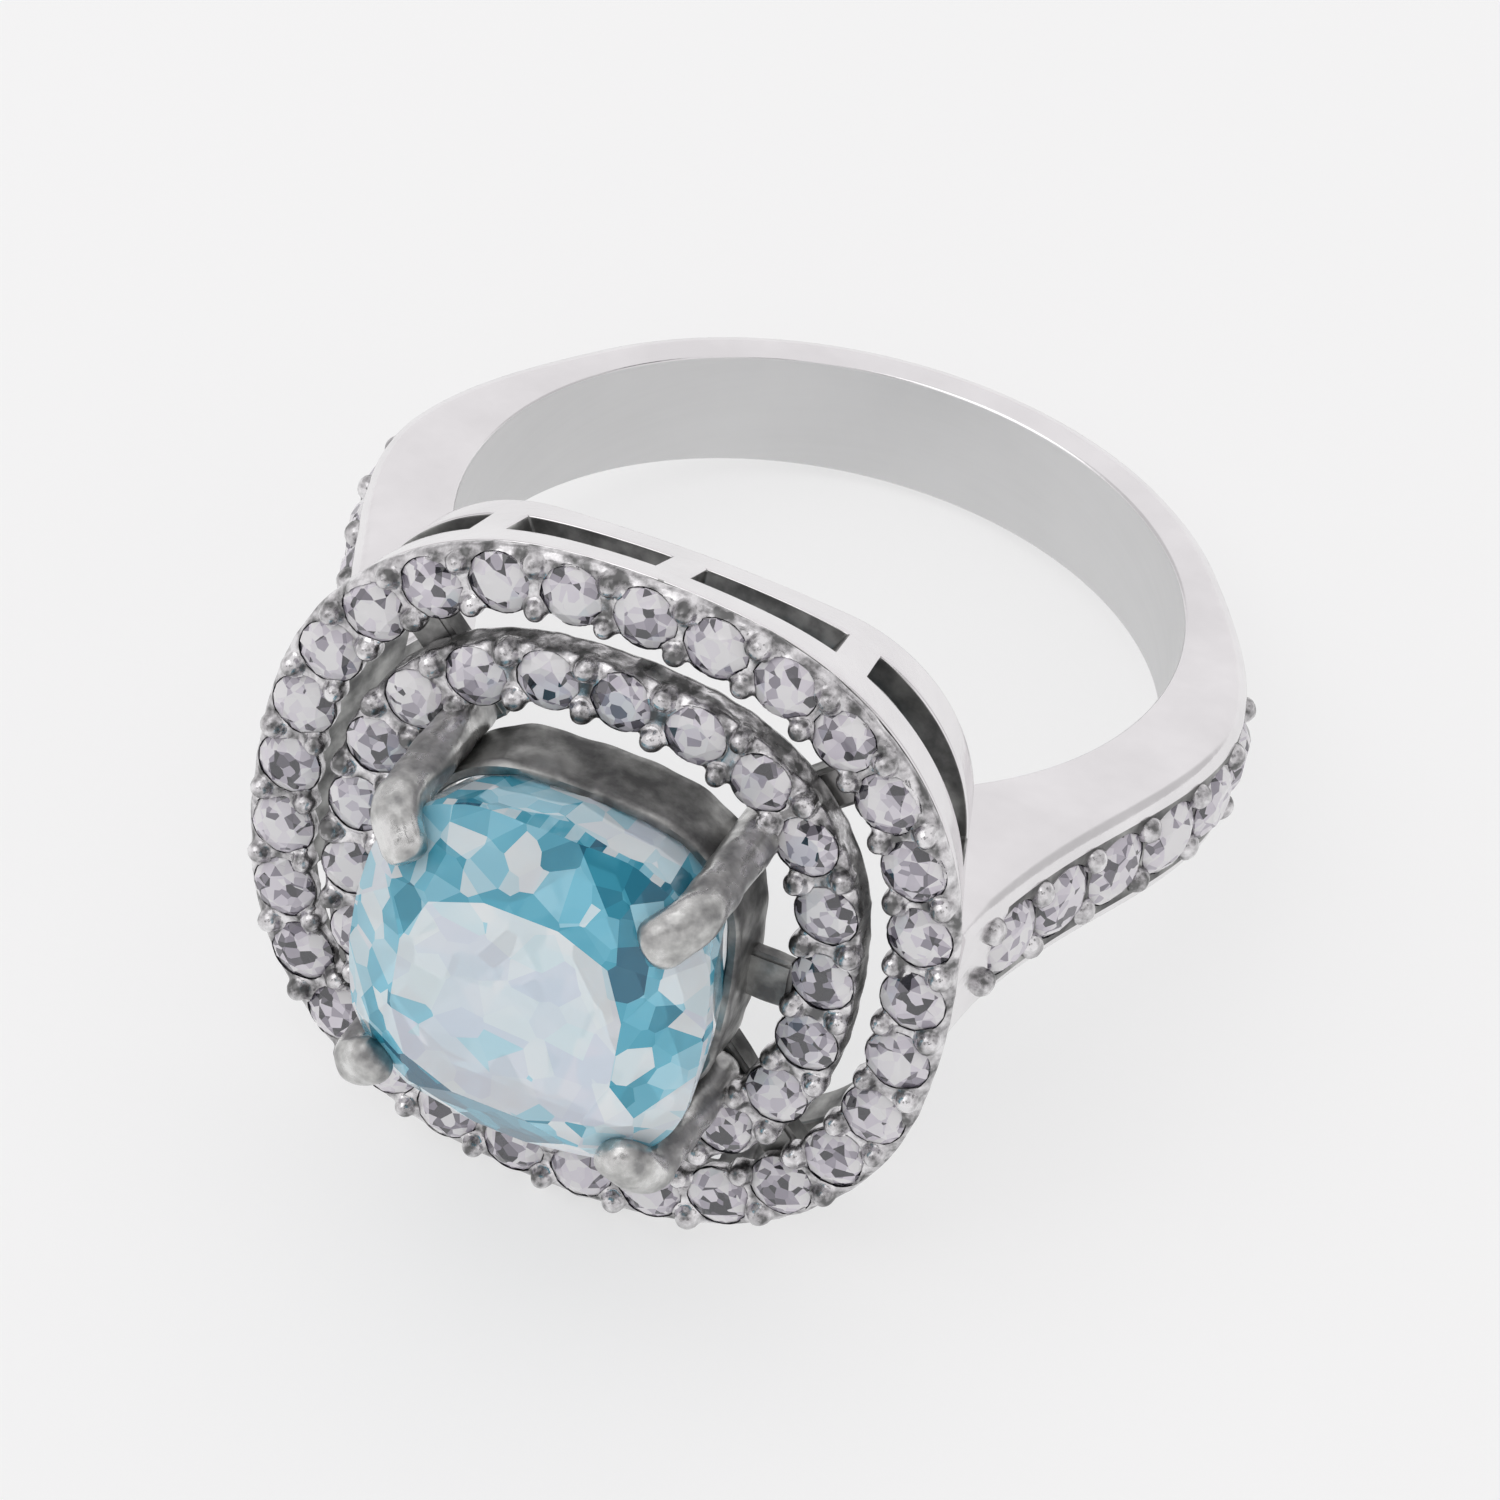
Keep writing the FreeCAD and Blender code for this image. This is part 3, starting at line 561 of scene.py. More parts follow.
def brilliant(diameter):
    """Points and faces of a round brilliant with the foot of its girdle on the XY plane."""
    radius = diameter / 2
    girdle = 0.045
    crown = CROWN * diameter
    depth = PAVILION * diameter
    table = radius * 0.55
    middle = radius * 0.8
    lower = radius * 0.24
    slope_in = math.cos(math.pi / 8)
    middle_level = girdle + (radius - middle * slope_in) / (radius - table) * (crown - girdle)
    lower_level = -(radius - lower * slope_in) / radius * depth

    def ring(count, reach, level, shift):
        return [(reach * math.cos(2 * math.pi * (n + shift) / count),
                 reach * math.sin(2 * math.pi * (n + shift) / count), level) for n in range(count)]

    points = ring(8, table, crown, 0.5) + ring(8, middle, middle_level, 0)
    points += ring(16, radius, girdle, 0) + ring(16, radius, 0, 0) + ring(8, lower, lower_level, 0)
    points.append((0, 0, -depth))
    faces = [tuple(range(8))]
    for n in range(8):
        after = (n + 1) % 8
        before = (n - 1) % 8
        top, mid, edge, foot, low = n, 8 + n, 16 + 2 * n, 32 + 2 * n, 48 + n
        faces.append((before, mid, top))
        faces.append((top, mid, edge + 1, 8 + after))
        faces.append((mid, edge, edge + 1))
        faces.append((mid, 16 + (2 * n - 1) % 16, edge))
        faces.append((56, low, foot + 1, 48 + after))
        faces.append((low, foot, foot + 1))
        faces.append((low, 32 + (2 * n - 1) % 16, foot))
    for n in range(16):
        after = (n + 1) % 16
        faces.append((32 + n, 32 + after, 16 + after, 16 + n))
    return points, faces


def seat_tool(diameter):
    """What is cut away for a stone: its pavilion and crown with a little clearance, and the air above."""
    radius = diameter / 2 + 0.025
    opening = radius * 0.62
    air = 1.1
    return turned([(0, -PAVILION * diameter - 0.03), (radius, -0.015), (radius, 0.07),
                   (opening, CROWN * diameter), (opening, air), (0, air)], 32)


def bead_form(radius, height, root):
    """A domed bead standing on the XY plane, with its root below."""
    steps = [(radius * math.cos(math.radians(angle)), height * math.sin(math.radians(angle)))
             for angle in (0, 18, 36, 54, 72)]
    return turned([(0, -root), (radius, -root)] + steps + [(0, height)], 14)


def stones_at(places, diameter, randomness):
    """One shape with a round stone at each matrix, each turned and tipped a little differently."""
    shape = Shape()
    most = math.radians(2.2)
    points, faces = brilliant(diameter)
    for place in places:
        spin = Matrix.Rotation(randomness.uniform(0, math.tau), 4, "Z")
        tip = Matrix.Rotation(randomness.uniform(-most, most), 4, "X")
        lean = Matrix.Rotation(randomness.uniform(-most, most), 4, "Y")
        shape.add(points, faces, place @ tip @ lean @ spin)
    return shape


def side_of(point):
    """Which side of the head a stone is on."""
    if abs(point.y) >= abs(point.x) - 1e-6:
        return "upper" if point.y > 0 else "lower"
    return "right" if point.x > 0 else "left"


def make_halo(name, outline, width, top, diameter, stone_inset, count, looks, randomness):
    """A halo plate with its seats, its beads and its round stones."""
    path = inset(outline, stone_inset)
    shape = Shape()
    ring = 240
    outer = cushion_at(inset(outline, 0.06), evenly(ring))
    inner = cushion_at(inset(outline, width - 0.04), evenly(ring))
    face = top - 0.14
    rows = [(outer, -0.1, HALO_BOTTOM), (outer, 0.0, HALO_BOTTOM + 0.12), (outer, 0.0, face - 0.16),
            (outer, -0.16, face), (inner, 0.16, face), (inner, 0.0, face - 0.16),
            (inner, 0.0, HALO_BOTTOM + 0.12), (inner, 0.1, HALO_BOTTOM)]
    points = [point + outward * shift + Vector((0, 0, level)) for places, shift, level in rows
              for point, outward in places]
    shape.add(points, grid_faces(len(rows), ring, close_rows=True))
    for point, _ in cushion_at(path, evenly(count)):
        collar = turned([(0, HALO_BOTTOM + 0.1), (diameter / 2 + 0.04, HALO_BOTTOM + 0.1),
                         (diameter / 2 + 0.05, top - 0.16), (diameter / 2 - 0.03, top - 0.08),
                         (0, top - 0.08)], 24)
        shape.add(*collar, Matrix.Translation(point))
    foot = Vector((0, 0, top - 0.1))
    for point, outward in cushion_at(path, evenly(count, 0.5)):
        for side in (-1, 1):
            spot = point + outward * side * (0.55 + randomness.uniform(-0.02, 0.02)) + foot
            form = bead_form(0.28 + randomness.uniform(-0.02, 0.02), 0.33, 0.3)
            shape.add(*form, Matrix.Translation(spot))
    plate = raw_object(name, shape)
    melt(plate, 0.06, 2)
    roughen(plate, 0.5, 0.03)
    for look in looks:
        plate.data.materials.append(look)
    seats = Shape()
    stone_level = Vector((0, 0, top - STONE_SINK))
    places = [Matrix.Translation(point + stone_level) for point, _ in cushion_at(path, evenly(count))]
    # the seat faces take material 1, the seat's painted shade round each stone
    for place in places:
        seats.add(*seat_tool(diameter), place, look=1)
    subtract(plate, seats)
    finish_piece(plate, (name,), crease=50)
    for side in ("upper", "right", "lower", "left"):
        chosen = [place for place in places if side_of(place.translation) == side]
        group = raw_object(f"{name}_stones_{side}", stones_at(chosen, diameter, randomness))
        group.data.materials.append(clear_stone)
        # each facet's number picks its painted reflection, dark, tinted or white
        paint_facet_reflections(group, randomness)
        finish_piece(group, (f"{name}_stones_{side}",), crease=0)


# ---- the gallery under the outer halo ----

def gallery_breaks():
    """Fractions round the gallery where its windows start and end, with the windows' spans."""
    middle = tuple((low + high) / 2 for low, high in zip(GALLERY_BASE, GALLERY_TOP))
    samples = [number / 4000 for number in range(1001)]
    places = cushion_at(middle, samples)

    def first(test):
        return next(fraction for fraction, (point, _) in zip(samples, places) if test(point))

    near = WINDOW_BAR / 2
    far = near + WINDOW_LENGTH
    edges = [first(lambda p: abs(p.x) > near), first(lambda p: abs(p.x) > far),
             first(lambda p: abs(p.x) > far + WINDOW_BAR), first(lambda p: p.y < CORNER_WINDOW_END)]
    spans = []
    for low, high in ((edges[0], edges[1]), (edges[2], edges[3])):
        for quarter in (0, 0.5):
            spans.append((quarter + low, quarter + high))
            spans.append((quarter + 0.5 - high, quarter + 0.5 - low))
    return sorted(spans)


def spread(edges, step):
    """Values from the first edge to the last that keep every edge and are no more than a step apart."""
    values = []
    for low, high in zip(edges, edges[1:]):
        count = max(1, math.ceil((high - low) / step))
        values += [low + (high - low) * number / count for number in range(count)]
    return values + [edges[-1]]


def make_gallery():
    """The tapered wall with its windows: smooth outside; rough inside and in the windows, whose dark cast
    skin is painted shade.
    """
    spans = gallery_breaks()
    fractions = spread([0.0] + [edge for span in spans for edge in span] + [1.0], 0.0035)[:-1]
    window_bottom, window_top = WINDOW_LEVELS
    levels = spread([GALLERY_BOTTOM, window_bottom, window_top, HALO_BOTTOM], 0.25)
    columns = len(fractions)
    points = []
    for thickness in (0.0, GALLERY_WALL):
        low_ring = cushion_at(inset(GALLERY_BASE, thickness), fractions)
        high_ring = cushion_at(inset(GALLERY_TOP, thickness), fractions)
        for level in levels:
            rise = (level - GALLERY_BOTTOM) / (HALO_BOTTOM - GALLERY_BOTTOM)
            for (low, _), (high, _) in zip(low_ring, high_ring):
                points.append(low.lerp(high, rise) + Vector((0, 0, level)))
    solid = set()
    for row in range(len(levels) - 1):
        in_level = window_bottom - 1e-6 < levels[row] < window_top - 1e-6
        for column in range(columns):
            in_span = any(low - 1e-6 < fractions[column] < high - 1e-6 for low, high in spans)
            if not (in_level and in_span):
                solid.add((row, column))
    outside, rough_and_shaded = gallery_faces(solid, len(levels), columns)
    shape = Shape().add(points, outside)
    shape.faces += rough_and_shaded
    # inside, rim and window faces take the cast material, darkened as painted shade
    shape.looks += [1] * len(rough_and_shaded)
    gallery = raw_object("gallery_wall", shape)
    for look in (polished, cast_and_shade):
        gallery.data.materials.append(look)
    soften = gallery.modifiers.new("edges", "BEVEL")
    soften.width = 0.07
    soften.segments = 3
    soften.limit_method = "ANGLE"
    soften.angle_limit = math.radians(45)
    settle(gallery)
    finish_piece(gallery, ("gallery",), crease=40)


def gallery_faces(solid, rows, columns):
    """Outside faces, and the inside, rim and window faces, of the grid cells that hold metal."""
    def outer(row, column):
        return row * columns + column % columns

    def inner(row, column):
        return (rows + row) * columns + column % columns

    outside = []
    rough_and_shaded = []
    for row, column in sorted(solid):
        outside.append((outer(row, column), outer(row, column + 1),
                        outer(row + 1, column + 1), outer(row + 1, column)))
        rough_and_shaded.append((inner(row, column), inner(row + 1, column),
                      inner(row + 1, column + 1), inner(row, column + 1)))
        borders = [((row - 1, column), (row, column), (row, column + 1)),
                   ((row + 1, column), (row + 1, column), (row + 1, column + 1)),
                   ((row, (column - 1) % columns), (row, column), (row + 1, column)),
                   ((row, (column + 1) % columns), (row, column + 1), (row + 1, column + 1))]
        for neighbour, one, two in borders:
            if neighbour not in solid:
                rough_and_shaded.append((outer(*one), outer(*two), inner(*two), inner(*one)))
    return outside, rough_and_shaded


# ---- shank ----

def shoulder_line(hand, count=120):
    """The outer line of one shoulder, from under the halo down to the plain shank."""
    turn = math.radians(SHOULDER_START)
    joint = Vector((math.sin(turn) * SHANK_OUTER, 0, math.cos(turn) * SHANK_OUTER))
    rise = (SHOULDER_TOP - GALLERY_BOTTOM) / (HALO_BOTTOM - GALLERY_BOTTOM)
    wall = GALLERY_BASE[0] + rise * (GALLERY_TOP[0] - GALLERY_BASE[0])
    top = Vector((wall + SHOULDER_STAND_OFF, 0, SHOULDER_TOP))
    neck = Vector((BORE_RADIUS + NECK_THICKNESS, 0, NECK_LEVEL))
    widest = Vector((BORE_RADIUS + WIDEST_THICKNESS, 0, WIDEST_LEVEL))
    curve = clamped_spline([top, neck, widest, joint], Vector((0.1, 0, -1)),
                           Vector((math.cos(turn), 0, -math.sin(turn))), count)
    return [Vector((point.x * hand, 0, point.z)) for point in curve]


def inner_line(hand, count):
    """The inner line that faces a shoulder: up inside the gallery wall, then round the finger hole."""
    opening = math.radians(OPENING_ANGLE)
    turn = math.radians(SHOULDER_START)
    run = [Vector((7.5, 0, SHOULDER_TOP)), Vector((7.0, 0, GALLERY_BOTTOM))]
    steps = 60
    for step in range(steps + 1):
        angle = opening + (turn - opening) * step / steps
        run.append(Vector((math.sin(angle), 0, math.cos(angle))) * BORE_RADIUS)
    bore_end = length_of(run[:3])
    whole = length_of(run)
    before = round(count * bore_end / whole)
    distances = [bore_end * step / before for step in range(before)]
    after = count - before
    distances += [bore_end + (whole - bore_end) * step / after for step in range(after + 1)]
    return [Vector((point.x * hand, 0, point.z)) for point, _ in along(run, distances)]


def shank_section(inside, outside):
    """One section of the shank: flat sides, a soft inner edge and a well rounded outer edge."""
    depth = (outside - inside).length
    way = (outside - inside).normalized()
    outer_round = min(OUTER_ROUND, depth * 0.42)
    half = SHANK_HALF_WIDTH
    corners = [(0, -half, INNER_ROUND, 180), (0, half, INNER_ROUND, 90),
               (depth, half, outer_round, 0), (depth, -half, outer_round, -90)]
    points = []
    for reach, side, rounding, start in corners:
        centre_reach = reach + (rounding if reach == 0 else -rounding)
        centre_side = side - math.copysign(rounding, side)
        for step in range(6):
            turn = math.radians(start + 90 - 90 * step / 5)
            points.append(inside + way * (centre_reach + rounding * math.cos(turn))
                          + Vector((0, centre_side + rounding * math.sin(turn), 0)))
    return points


def shoulder_places(hand):
    """Matrices of a shoulder's stones, and (point, direction) of the bead pairs between them."""
    curve = shoulder_line(hand)
    stones = []
    beads = []
    for step in range(-1, 12):
        point, way = along(curve, [FIRST_SHOULDER_STONE + step * SHOULDER_PITCH / 2])[0]
        outward = Vector((-way.z * hand, 0, way.x * hand)).normalized()
        if step % 2 == 0:
            stones.append(standing(point - outward * SHOULDER_SINK, outward))
            continue
        for side in (-1, 1):
            beads.append((point + Vector((0, side * SHOULDER_BEAD_OFFSET, 0)), outward))
    return stones, beads


def shank_run(count=120, plain_count=90):
    """(inside, outside) points round the shank, down one shoulder and up the other."""
    right, left = [list(zip(inner_line(hand, count), shoulder_line(hand, count))) for hand in (1, -1)]
    turn = math.radians(SHOULDER_START)
    plain = []
    for step in range(1, plain_count):
        angle = turn + (math.tau - 2 * turn) * step / plain_count
        way = Vector((math.sin(angle), 0, math.cos(angle)))
        plain.append((way * BORE_RADIUS, way * SHANK_OUTER))
    return right + plain + left[::-1]


def make_shank(randomness):
    """The polished shank, its shoulder stones and their beads."""
    sections = [shank_section(inside, outside) for inside, outside in shank_run()]
    columns = len(sections[0])
    points = [point for section in sections for point in section]
    shape = Shape().add(points, capped_faces(len(sections), columns))
    for number, face in enumerate(shape.faces):
        centre = sum((shape.points[index] for index in face), Vector()) / len(face)
        reach = math.hypot(centre.x, centre.z)
        # the groove where the shoulder stones sit takes the cast material: rough, and darkened as painted
        # shade between the stones
        in_groove = abs(centre.y) < 1.12 and -1.6 < centre.z < 9.3
        if reach < BORE_RADIUS + 0.02 and centre.z < 6.2:
            shape.looks[number] = 1
        elif in_groove and reach > SHANK_OUTER - 0.5:
            shape.looks[number] = 3
    shank = raw_object("shank_band", shape)
    for look in (polished, bore, seat_shade, cast_and_shade):
        shank.data.materials.append(look)
    seats = Shape()
    beads = Shape()
    for label, hand in (("right", 1), ("left", -1)):
        places, bead_places = shoulder_places(hand)
        # the seat faces take material 2, the seat's painted shade round each stone
        for place in places:
            seats.add(*seat_tool(SHOULDER_STONE), place, look=2)
        for number, place in enumerate(places, start=1):
            node = f"shoulder_stone_{label}_{number}"
            stone = raw_object(f"{node}_cut", stones_at([place], SHOULDER_STONE, randomness))
            stone.data.materials.append(clear_stone)
            # each facet's number picks its painted reflection, dark, tinted or white
            paint_facet_reflections(stone, randomness)
            finish_piece(stone, (node,), crease=0)
        for point, outward in bead_places:
            beads.add(*bead_form(0.33, 0.3, 0.28), standing(point, outward))
    subtract(shank, seats)
    finish_piece(shank, ("shank",), crease=40)
    posts = raw_object("shoulder_beads", beads)
    posts.data.materials.append(setting)
    roughen(posts, 0.3, 0.03)
    finish_piece(posts, crease=60)


# ---- basket, struts, prongs ----

def make_rail():
    """The basket rail: a band of rough cast metal under the centre stone, painted dark grey as the shade
    under the stone.
    """
    ring = 200
    steps = 10
    edge = 0.06
    low = RAIL_BOTTOM + 0.08
    high = RAIL_TOP - 0.08
    outer = cushion_at(BASKET_RAIL, evenly(ring))
    inner = cushion_at(inset(BASKET_RAIL, RAIL_WALL), evenly(ring))
    levels = [low + (high - low) * step / steps for step in range(steps + 1)]
    rows = [(outer, -edge, RAIL_BOTTOM)]
    rows += [(outer, 0.0, level) for level in levels]
    rows += [(outer, -edge, RAIL_TOP), (inner, edge, RAIL_TOP)]
    rows += [(inner, 0.0, level) for level in reversed(levels)]
    rows.append((inner, edge, RAIL_BOTTOM))
    points = [point + outward * shift + Vector((0, 0, level)) for places, shift, level in rows
              for point, outward in places]
    rail = raw_object("basket_band", Shape().add(points, grid_faces(len(rows), ring, close_rows=True)))
    roughen(rail, 0.7, 0.06)
    rail.data.materials.append(cast_and_shade)
    finish_piece(rail, ("basket_rail",), crease=50)


def bar(low, high, place):
    """A bar with worn edges and enough divisions to be roughened."""
    bm = bmesh.new()
    bmesh.ops.create_cube(bm, size=1)
    size = [b - a for a, b in zip(low, high)]
    middle = [(a + b) / 2 for a, b in zip(low, high)]
    bmesh.ops.transform(bm, matrix=Matrix.Translation(middle) @ Matrix.Diagonal((*size, 1)), verts=bm.verts)
    bmesh.ops.bevel(bm, geom=bm.edges[:], offset=0.1, segments=3, affect="EDGES")
    long_edges = [edge for edge in bm.edges if edge.calc_length() > 0.3]
    bmesh.ops.subdivide_edges(bm, edges=long_edges, cuts=6, use_grid_fill=True)
    bm.verts.ensure_lookup_table()
    points = [vertex.co.copy() for vertex in bm.verts]
    faces = [[vertex.index for vertex in face.verts] for face in bm.faces]
    shape = Shape().add(points, faces, place)
    bm.free()
    return shape


def make_bars():
    """The four struts under the halos and the two bridges that hold the basket rail."""
    start = prong_distance() - PRONG_RADIUS
    end = corner_distance(GALLERY_TOP) - 0.8
    for quarter in range(4):
        turn = Matrix.Rotation(math.radians(45 + 90 * quarter), 4, "Z")
        shape = bar((start, -0.5, HALO_BOTTOM - 0.7), (end, 0.5, HALO_BOTTOM), turn)
        strut = raw_object(f"strut_bar_{quarter + 1}", shape)
        roughen(strut, 0.6, 0.06)
        # rough cast metal, painted dark grey as the shade under the halos
        strut.data.materials.append(cast_and_shade)
        finish_piece(strut, (f"halo_strut_{quarter + 1}",), crease=50)
    for label, turn in (("right", 0), ("left", 180)):
        shape = bar((3.8, -0.62, HALO_BOTTOM + 0.55), (4.95, 0.62, HALO_BOTTOM + 1.02),
                    Matrix.Rotation(math.radians(turn), 4, "Z"))
        bridge = raw_object(f"bridge_bar_{label}", shape)
        roughen(bridge, 0.5, 0.04)
        # rough cast metal, painted dark grey as the shade under the halos
        bridge.data.materials.append(cast_and_shade)
        finish_piece(bridge, (f"bridge_{label}",), crease=50)


def prong_distance():
    """How far a prong's shaft stands from the middle of the stone."""
    return corner_distance(CENTRE_STONE) + PRONG_RADIUS - PRONG_BITE


def prong_spine():
    """(point, direction, half thickness, half width) along one prong, from its foot to its tip."""
    distance = prong_distance()
    shaft = 14
    bend = 8
    tip = 8
    height = GIRDLE_TOP - HALO_BOTTOM
    spine = [(Vector((distance, 0, HALO_BOTTOM + height * step / shaft)), Vector((0, 0, 1)),
              PRONG_RADIUS, PRONG_RADIUS) for step in range(shaft)]
    centre = Vector((distance - PRONG_BEND_RADIUS, 0, GIRDLE_TOP))
    for step in range(bend + 1):
        ease = step / bend
        angle = math.radians(PRONG_BEND_ANGLE * ease)
        out = Vector((math.cos(angle), 0, math.sin(angle)))
        way = Vector((-math.sin(angle), 0, math.cos(angle)))
        spine.append((centre + out * PRONG_BEND_RADIUS, way,
                      PRONG_RADIUS - 0.06 * ease, PRONG_RADIUS + 0.07 * ease))
    end, way, _, _ = spine[-1]
    for step in range(1, tip + 1):
        reach = 0.84 * math.sin(math.pi / 2 * step / tip)
        round_off = math.cos(math.pi / 2 * max(0.0, (step - 2) / 6)) ** 0.6 if step < tip else 0.12
        spine.append((end + way * reach, way, 0.46 * round_off, 0.6 * round_off))
    return spine


def make_prongs():
    """Four prongs: round shafts that bend over the stone's corners and end in worn, flattened tips."""
    sides = 24
    spine = prong_spine()
    points = []
    for spot, way, thick, wide in spine:
        across = Vector((0, 1, 0)).cross(way)
        for side in range(sides):
            angle = math.tau * side / sides
            points.append(spot + across * thick * math.cos(angle) + Vector((0, wide * math.sin(angle), 0)))
    faces = capped_faces(len(spine), sides)
    for quarter in range(4):
        turn = Matrix.Rotation(math.radians(45 + 90 * quarter), 4, "Z")
        prong = raw_object(f"prong_wire_{quarter + 1}", Shape().add(points, faces, turn))
        finer = prong.modifiers.new("finer", "SUBSURF")
        finer.levels = 1
        settle(prong)
        roughen(prong, 0.55, 0.05)
        prong.data.materials.append(prong_metal)
        finish_piece(prong, (f"prong_{quarter + 1}",), crease=60)


# ---- centre stone ----

# how many times round each group of facets repeats, and for each kind in it: azimuth of the first,
# level it is measured at, lift from that level, and slope, which is negative on a facet that faces down
FACET_GROUPS = [
    (8, [(0, GIRDLE_TOP, 0.1, 36), (22.5, GIRDLE_TOP, 0.42, 25)]),
    (16, [(11.25, GIRDLE_TOP, 0.0, 44)]),
    (24, [(7.5, GIRDLE_BOTTOM, 0.0, -75)]),
    (16, [(11.25, GIRDLE_BOTTOM, -1.45, -54)]),
    (8, [(22.5, GIRDLE_BOTTOM, -1.9, -35), (0, GIRDLE_BOTTOM, -2.15, -31)]),
]


def make_centre_stone(randomness):
    """The cushion-cut stone, cut facet by facet from a cushion-shaped block."""
    count = 96
    outline = [point for point, _ in cushion_at(CENTRE_STONE, evenly(count))]
    ends = (GIRDLE_BOTTOM - 5, GIRDLE_TOP + 2)
    points = [point + Vector((0, 0, level)) for level in ends for point in outline]
    block = raw_object("cushion_stone", Shape().add(points, capped_faces(2, count)))
    facets = [(first + 360 * number / repeats, level + lift, slope) for repeats, kinds in FACET_GROUPS
              for number in range(repeats) for first, level, lift, slope in kinds]
    bm = bmesh.new()
    bm.from_mesh(block.data)
    for azimuth, height, slope in facets:
        turn = math.radians(azimuth)
        tilt = math.radians(slope)
        flat = Vector((math.cos(turn), math.sin(turn), 0))
        reach = max(point.dot(flat) for point in outline)
        normal = flat * abs(math.sin(tilt)) + Vector((0, 0, math.copysign(math.cos(tilt), slope)))
        slice_gem(bm, flat * reach + Vector((0, 0, height)), normal)
    slice_gem(bm, Vector((0, 0, GIRDLE_TOP + TABLE_HEIGHT)), Vector((0, 0, 1)))
    slice_gem(bm, Vector((0, 0, GIRDLE_BOTTOM - CULET_DROP)), Vector((0, 0, -1)))
    bmesh.ops.remove_doubles(bm, verts=bm.verts, dist=0.002)
    bmesh.ops.recalc_face_normals(bm, faces=bm.faces)
    bm.to_mesh(block.data)
    bm.free()
    block.data.materials.append(blue_stone)
    # each facet's number picks its painted reflection, dark, tinted or white
    paint_facet_reflections(block, randomness)
    # the table facet takes the top stop: a painted reflection of the light, lilac-white
    table = max(block.data.polygons, key=lambda facet: facet.center.z)
    block.data.attributes["facet"].data[table.index].value = TABLE_PAINTED_REFLECTION
    finish_piece(block, ("centre_stone",), crease=0)


def slice_gem(bm, spot, normal):
    """Cuts off what lies beyond a plane and closes the cut with one flat facet."""
    everything = bm.verts[:] + bm.edges[:] + bm.faces[:]
    bmesh.ops.bisect_plane(bm, geom=everything, plane_co=spot, plane_no=normal,
                           clear_outer=True, dist=0.0005)
    rim = [edge for edge in bm.edges if edge.is_boundary]
    if rim:
        bmesh.ops.holes_fill(bm, edges=rim, sides=0)


# ---- stage, light and camera ----

FLOOR_GAP = 0.002
TENT_LIGHT = 0.9
# the view, in degrees and in millimetres of the model's own frame
VIEW_AZIMUTH = -68.48
VIEW_ELEVATION = 52.39
VIEW_ROLL = 3.25
VIEW_TARGET = Vector((-0.23, 0.98, 2.45))
VIEW_DISTANCE = 149.0
LENS = 151.8
# direction, cosine inside which it is fully dark, cosine outside which it is not dark, strength inside
WORLD_CARDS = [
    ((0.30, -0.60, 0.74), 0.996, 0.985, 0.05),
    ((0.05, -0.45, 0.89), 0.996, 0.987, 0.1),
    ((0.55, -0.35, 0.76), 0.997, 0.988, 0.1),
    ((-0.35, -0.70, 0.62), 0.995, 0.985, 0.15),
    ((-0.20, 0.15, 0.97), 0.997, 0.99, 0.1),
    ((0.60, 0.35, 0.70), 0.996, 0.985, 0.15),
    ((-0.75, 0.35, 0.45), 0.96, 0.88, 0.7),
    ((0.8, 0.55, 0.25), 0.96, 0.88, 0.7),
]


def make_stage():
    """A pale floor, lit from below like a product table, that the ring lies on."""
    floor = Look("floor", (0.34, 0.34, 0.34), 0.0, 0.7, Emission_Strength=0.58)
    floor.shader.inputs["Emission Color"].default_value = (1, 1, 1, 1)
    tone = floor.texture(0.02)
    floor.ramp(tone, "Fac", [(0.3, 0.335), (0.7, 0.345)], floor.shader, "Base Color")
    level = cad_box[0][2] - FLOOR_GAP * MM
    corners = [(-1, -1, level), (1, -1, level), (1, 1, level), (-1, 1, level)]
    mesh = bpy.data.meshes.new("floor")
    mesh.from_pydata(corners, [], [(0, 1, 2, 3)])
    mesh.materials.append(floor.material)
    ground = bpy.data.objects.new("floor", mesh)
    bpy.context.scene.collection.objects.link(ground)


def area_light(name, place, size, power, target):
    """A large soft light that faces a point."""
    data = bpy.data.lights.new(name, "AREA")
    data.shape = "RECTANGLE"
    data.size = size[0]
    data.size_y = size[1]
    data.energy = power
    light = bpy.data.objects.new(name, data)
    bpy.context.scene.collection.objects.link(light)
    light.location = place
    light.rotation_euler = (target - Vector(place)).to_track_quat("-Z", "Y").to_euler()


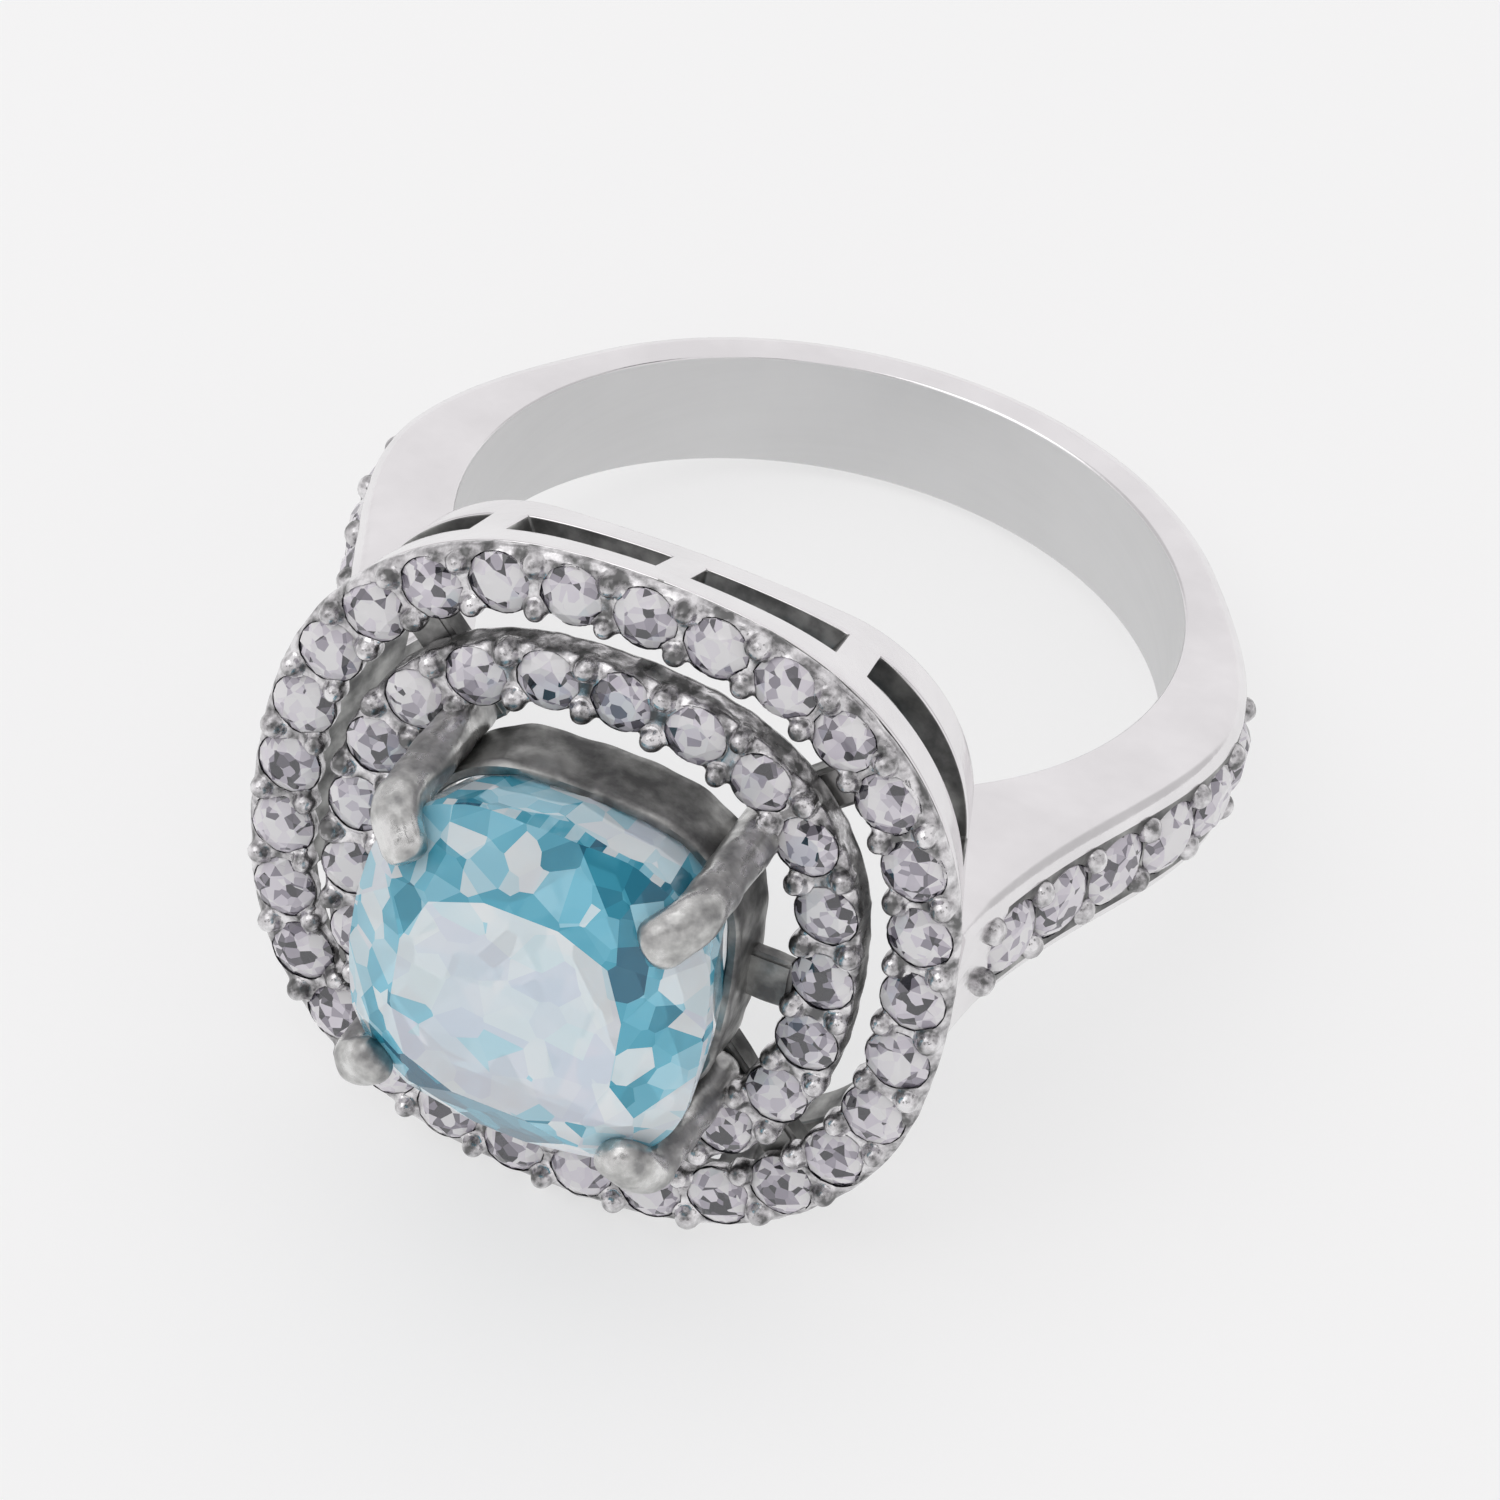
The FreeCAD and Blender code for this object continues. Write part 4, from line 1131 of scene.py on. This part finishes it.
def make_world():
    """A bright tent with dark cards, so that metal and facets have contrast."""
    world = bpy.data.worlds.new("tent")
    bpy.context.scene.world = world
    world.use_nodes = True
    tree = world.node_tree
    background = tree.nodes["Background"]
    place = tree.nodes.new("ShaderNodeTexCoord")

    def facing(way, inner, outer, dark):
        """1 away from a direction, down to dark within a cone round it."""
        dot = tree.nodes.new("ShaderNodeVectorMath")
        dot.operation = "DOT_PRODUCT"
        dot.inputs[1].default_value = Vector(way).normalized()
        tree.links.new(place.outputs["Generated"], dot.inputs[0])
        ramp = tree.nodes.new("ShaderNodeMapRange")
        ramp.interpolation_type = "SMOOTHSTEP"
        for socket, number in zip(("From Min", "From Max", "To Min", "To Max"), (outer, inner, 1.0, dark)):
            ramp.inputs[socket].default_value = number
        tree.links.new(dot.outputs["Value"], ramp.inputs["Value"])
        return ramp

    parts = [facing(*card) for card in WORLD_CARDS]
    product = parts[0].outputs["Result"]
    for part in parts[1:]:
        multiply = tree.nodes.new("ShaderNodeMath")
        multiply.operation = "MULTIPLY"
        tree.links.new(product, multiply.inputs[0])
        tree.links.new(part.outputs["Result"], multiply.inputs[1])
        product = multiply.outputs[0]
    gain = tree.nodes.new("ShaderNodeMath")
    gain.operation = "MULTIPLY"
    gain.inputs[1].default_value = TENT_LIGHT
    tree.links.new(product, gain.inputs[0])
    tree.links.new(gain.outputs[0], background.inputs["Strength"])
    background.inputs["Color"].default_value = (1.0, 0.985, 0.995, 1)


def make_camera():
    """The camera at the viewing angle, aimed at VIEW_TARGET from VIEW_DISTANCE and rolled a little."""
    azimuth = math.radians(VIEW_AZIMUTH)
    elevation = math.radians(VIEW_ELEVATION)
    flat = Vector((math.cos(azimuth), math.sin(azimuth), 0))
    away = flat * math.cos(elevation) + Vector((0, 0, math.sin(elevation)))
    aim = away.to_track_quat("Z", "Y").to_matrix().to_4x4()
    roll = Matrix.Rotation(math.radians(VIEW_ROLL), 4, "Z")
    data = bpy.data.cameras.new("camera")
    data.sensor_width = 36
    data.lens = LENS
    data.clip_start = 0.01
    data.clip_end = 10
    camera = bpy.data.objects.new("camera", data)
    bpy.context.scene.collection.objects.link(camera)
    camera.matrix_world = Matrix.Translation((VIEW_TARGET + away * VIEW_DISTANCE) * MM) @ aim @ roll
    bpy.context.scene.camera = camera
    bpy.context.scene.view_settings.view_transform = "Standard"


polished = polished_look()
bore = bore_look()
cast_and_shade = cast_and_shade_look()
setting = setting_look()
seat_shade = seat_shade_look()
prong_metal = prong_look()
clear_stone = stone_look("clear_stone", CLEAR_TINTS_AND_PAINTED_REFLECTIONS, 2.0, 0.3, 3.6)
blue_stone = stone_look("blue_stone", BLUE_TINTS_AND_PAINTED_REFLECTIONS, 1.62, 0.4, 1.35)

chance = random.Random(SEED)
make_halo("outer_halo", OUTER_HALO, 1.62, OUTER_TOP, OUTER_STONE, 0.92, 29, (setting, seat_shade), chance)
make_halo("inner_halo", INNER_HALO, 1.55, INNER_TOP, INNER_STONE, 0.8, 21, (setting, seat_shade), chance)
make_gallery()
make_shank(chance)
make_rail()
make_bars()
make_prongs()
make_centre_stone(chance)

make_stage()
make_world()
area_light("key", (-0.12, -0.05, 0.3), (0.25, 0.25), 0.12, Vector((0, 0, 0)))
make_camera()
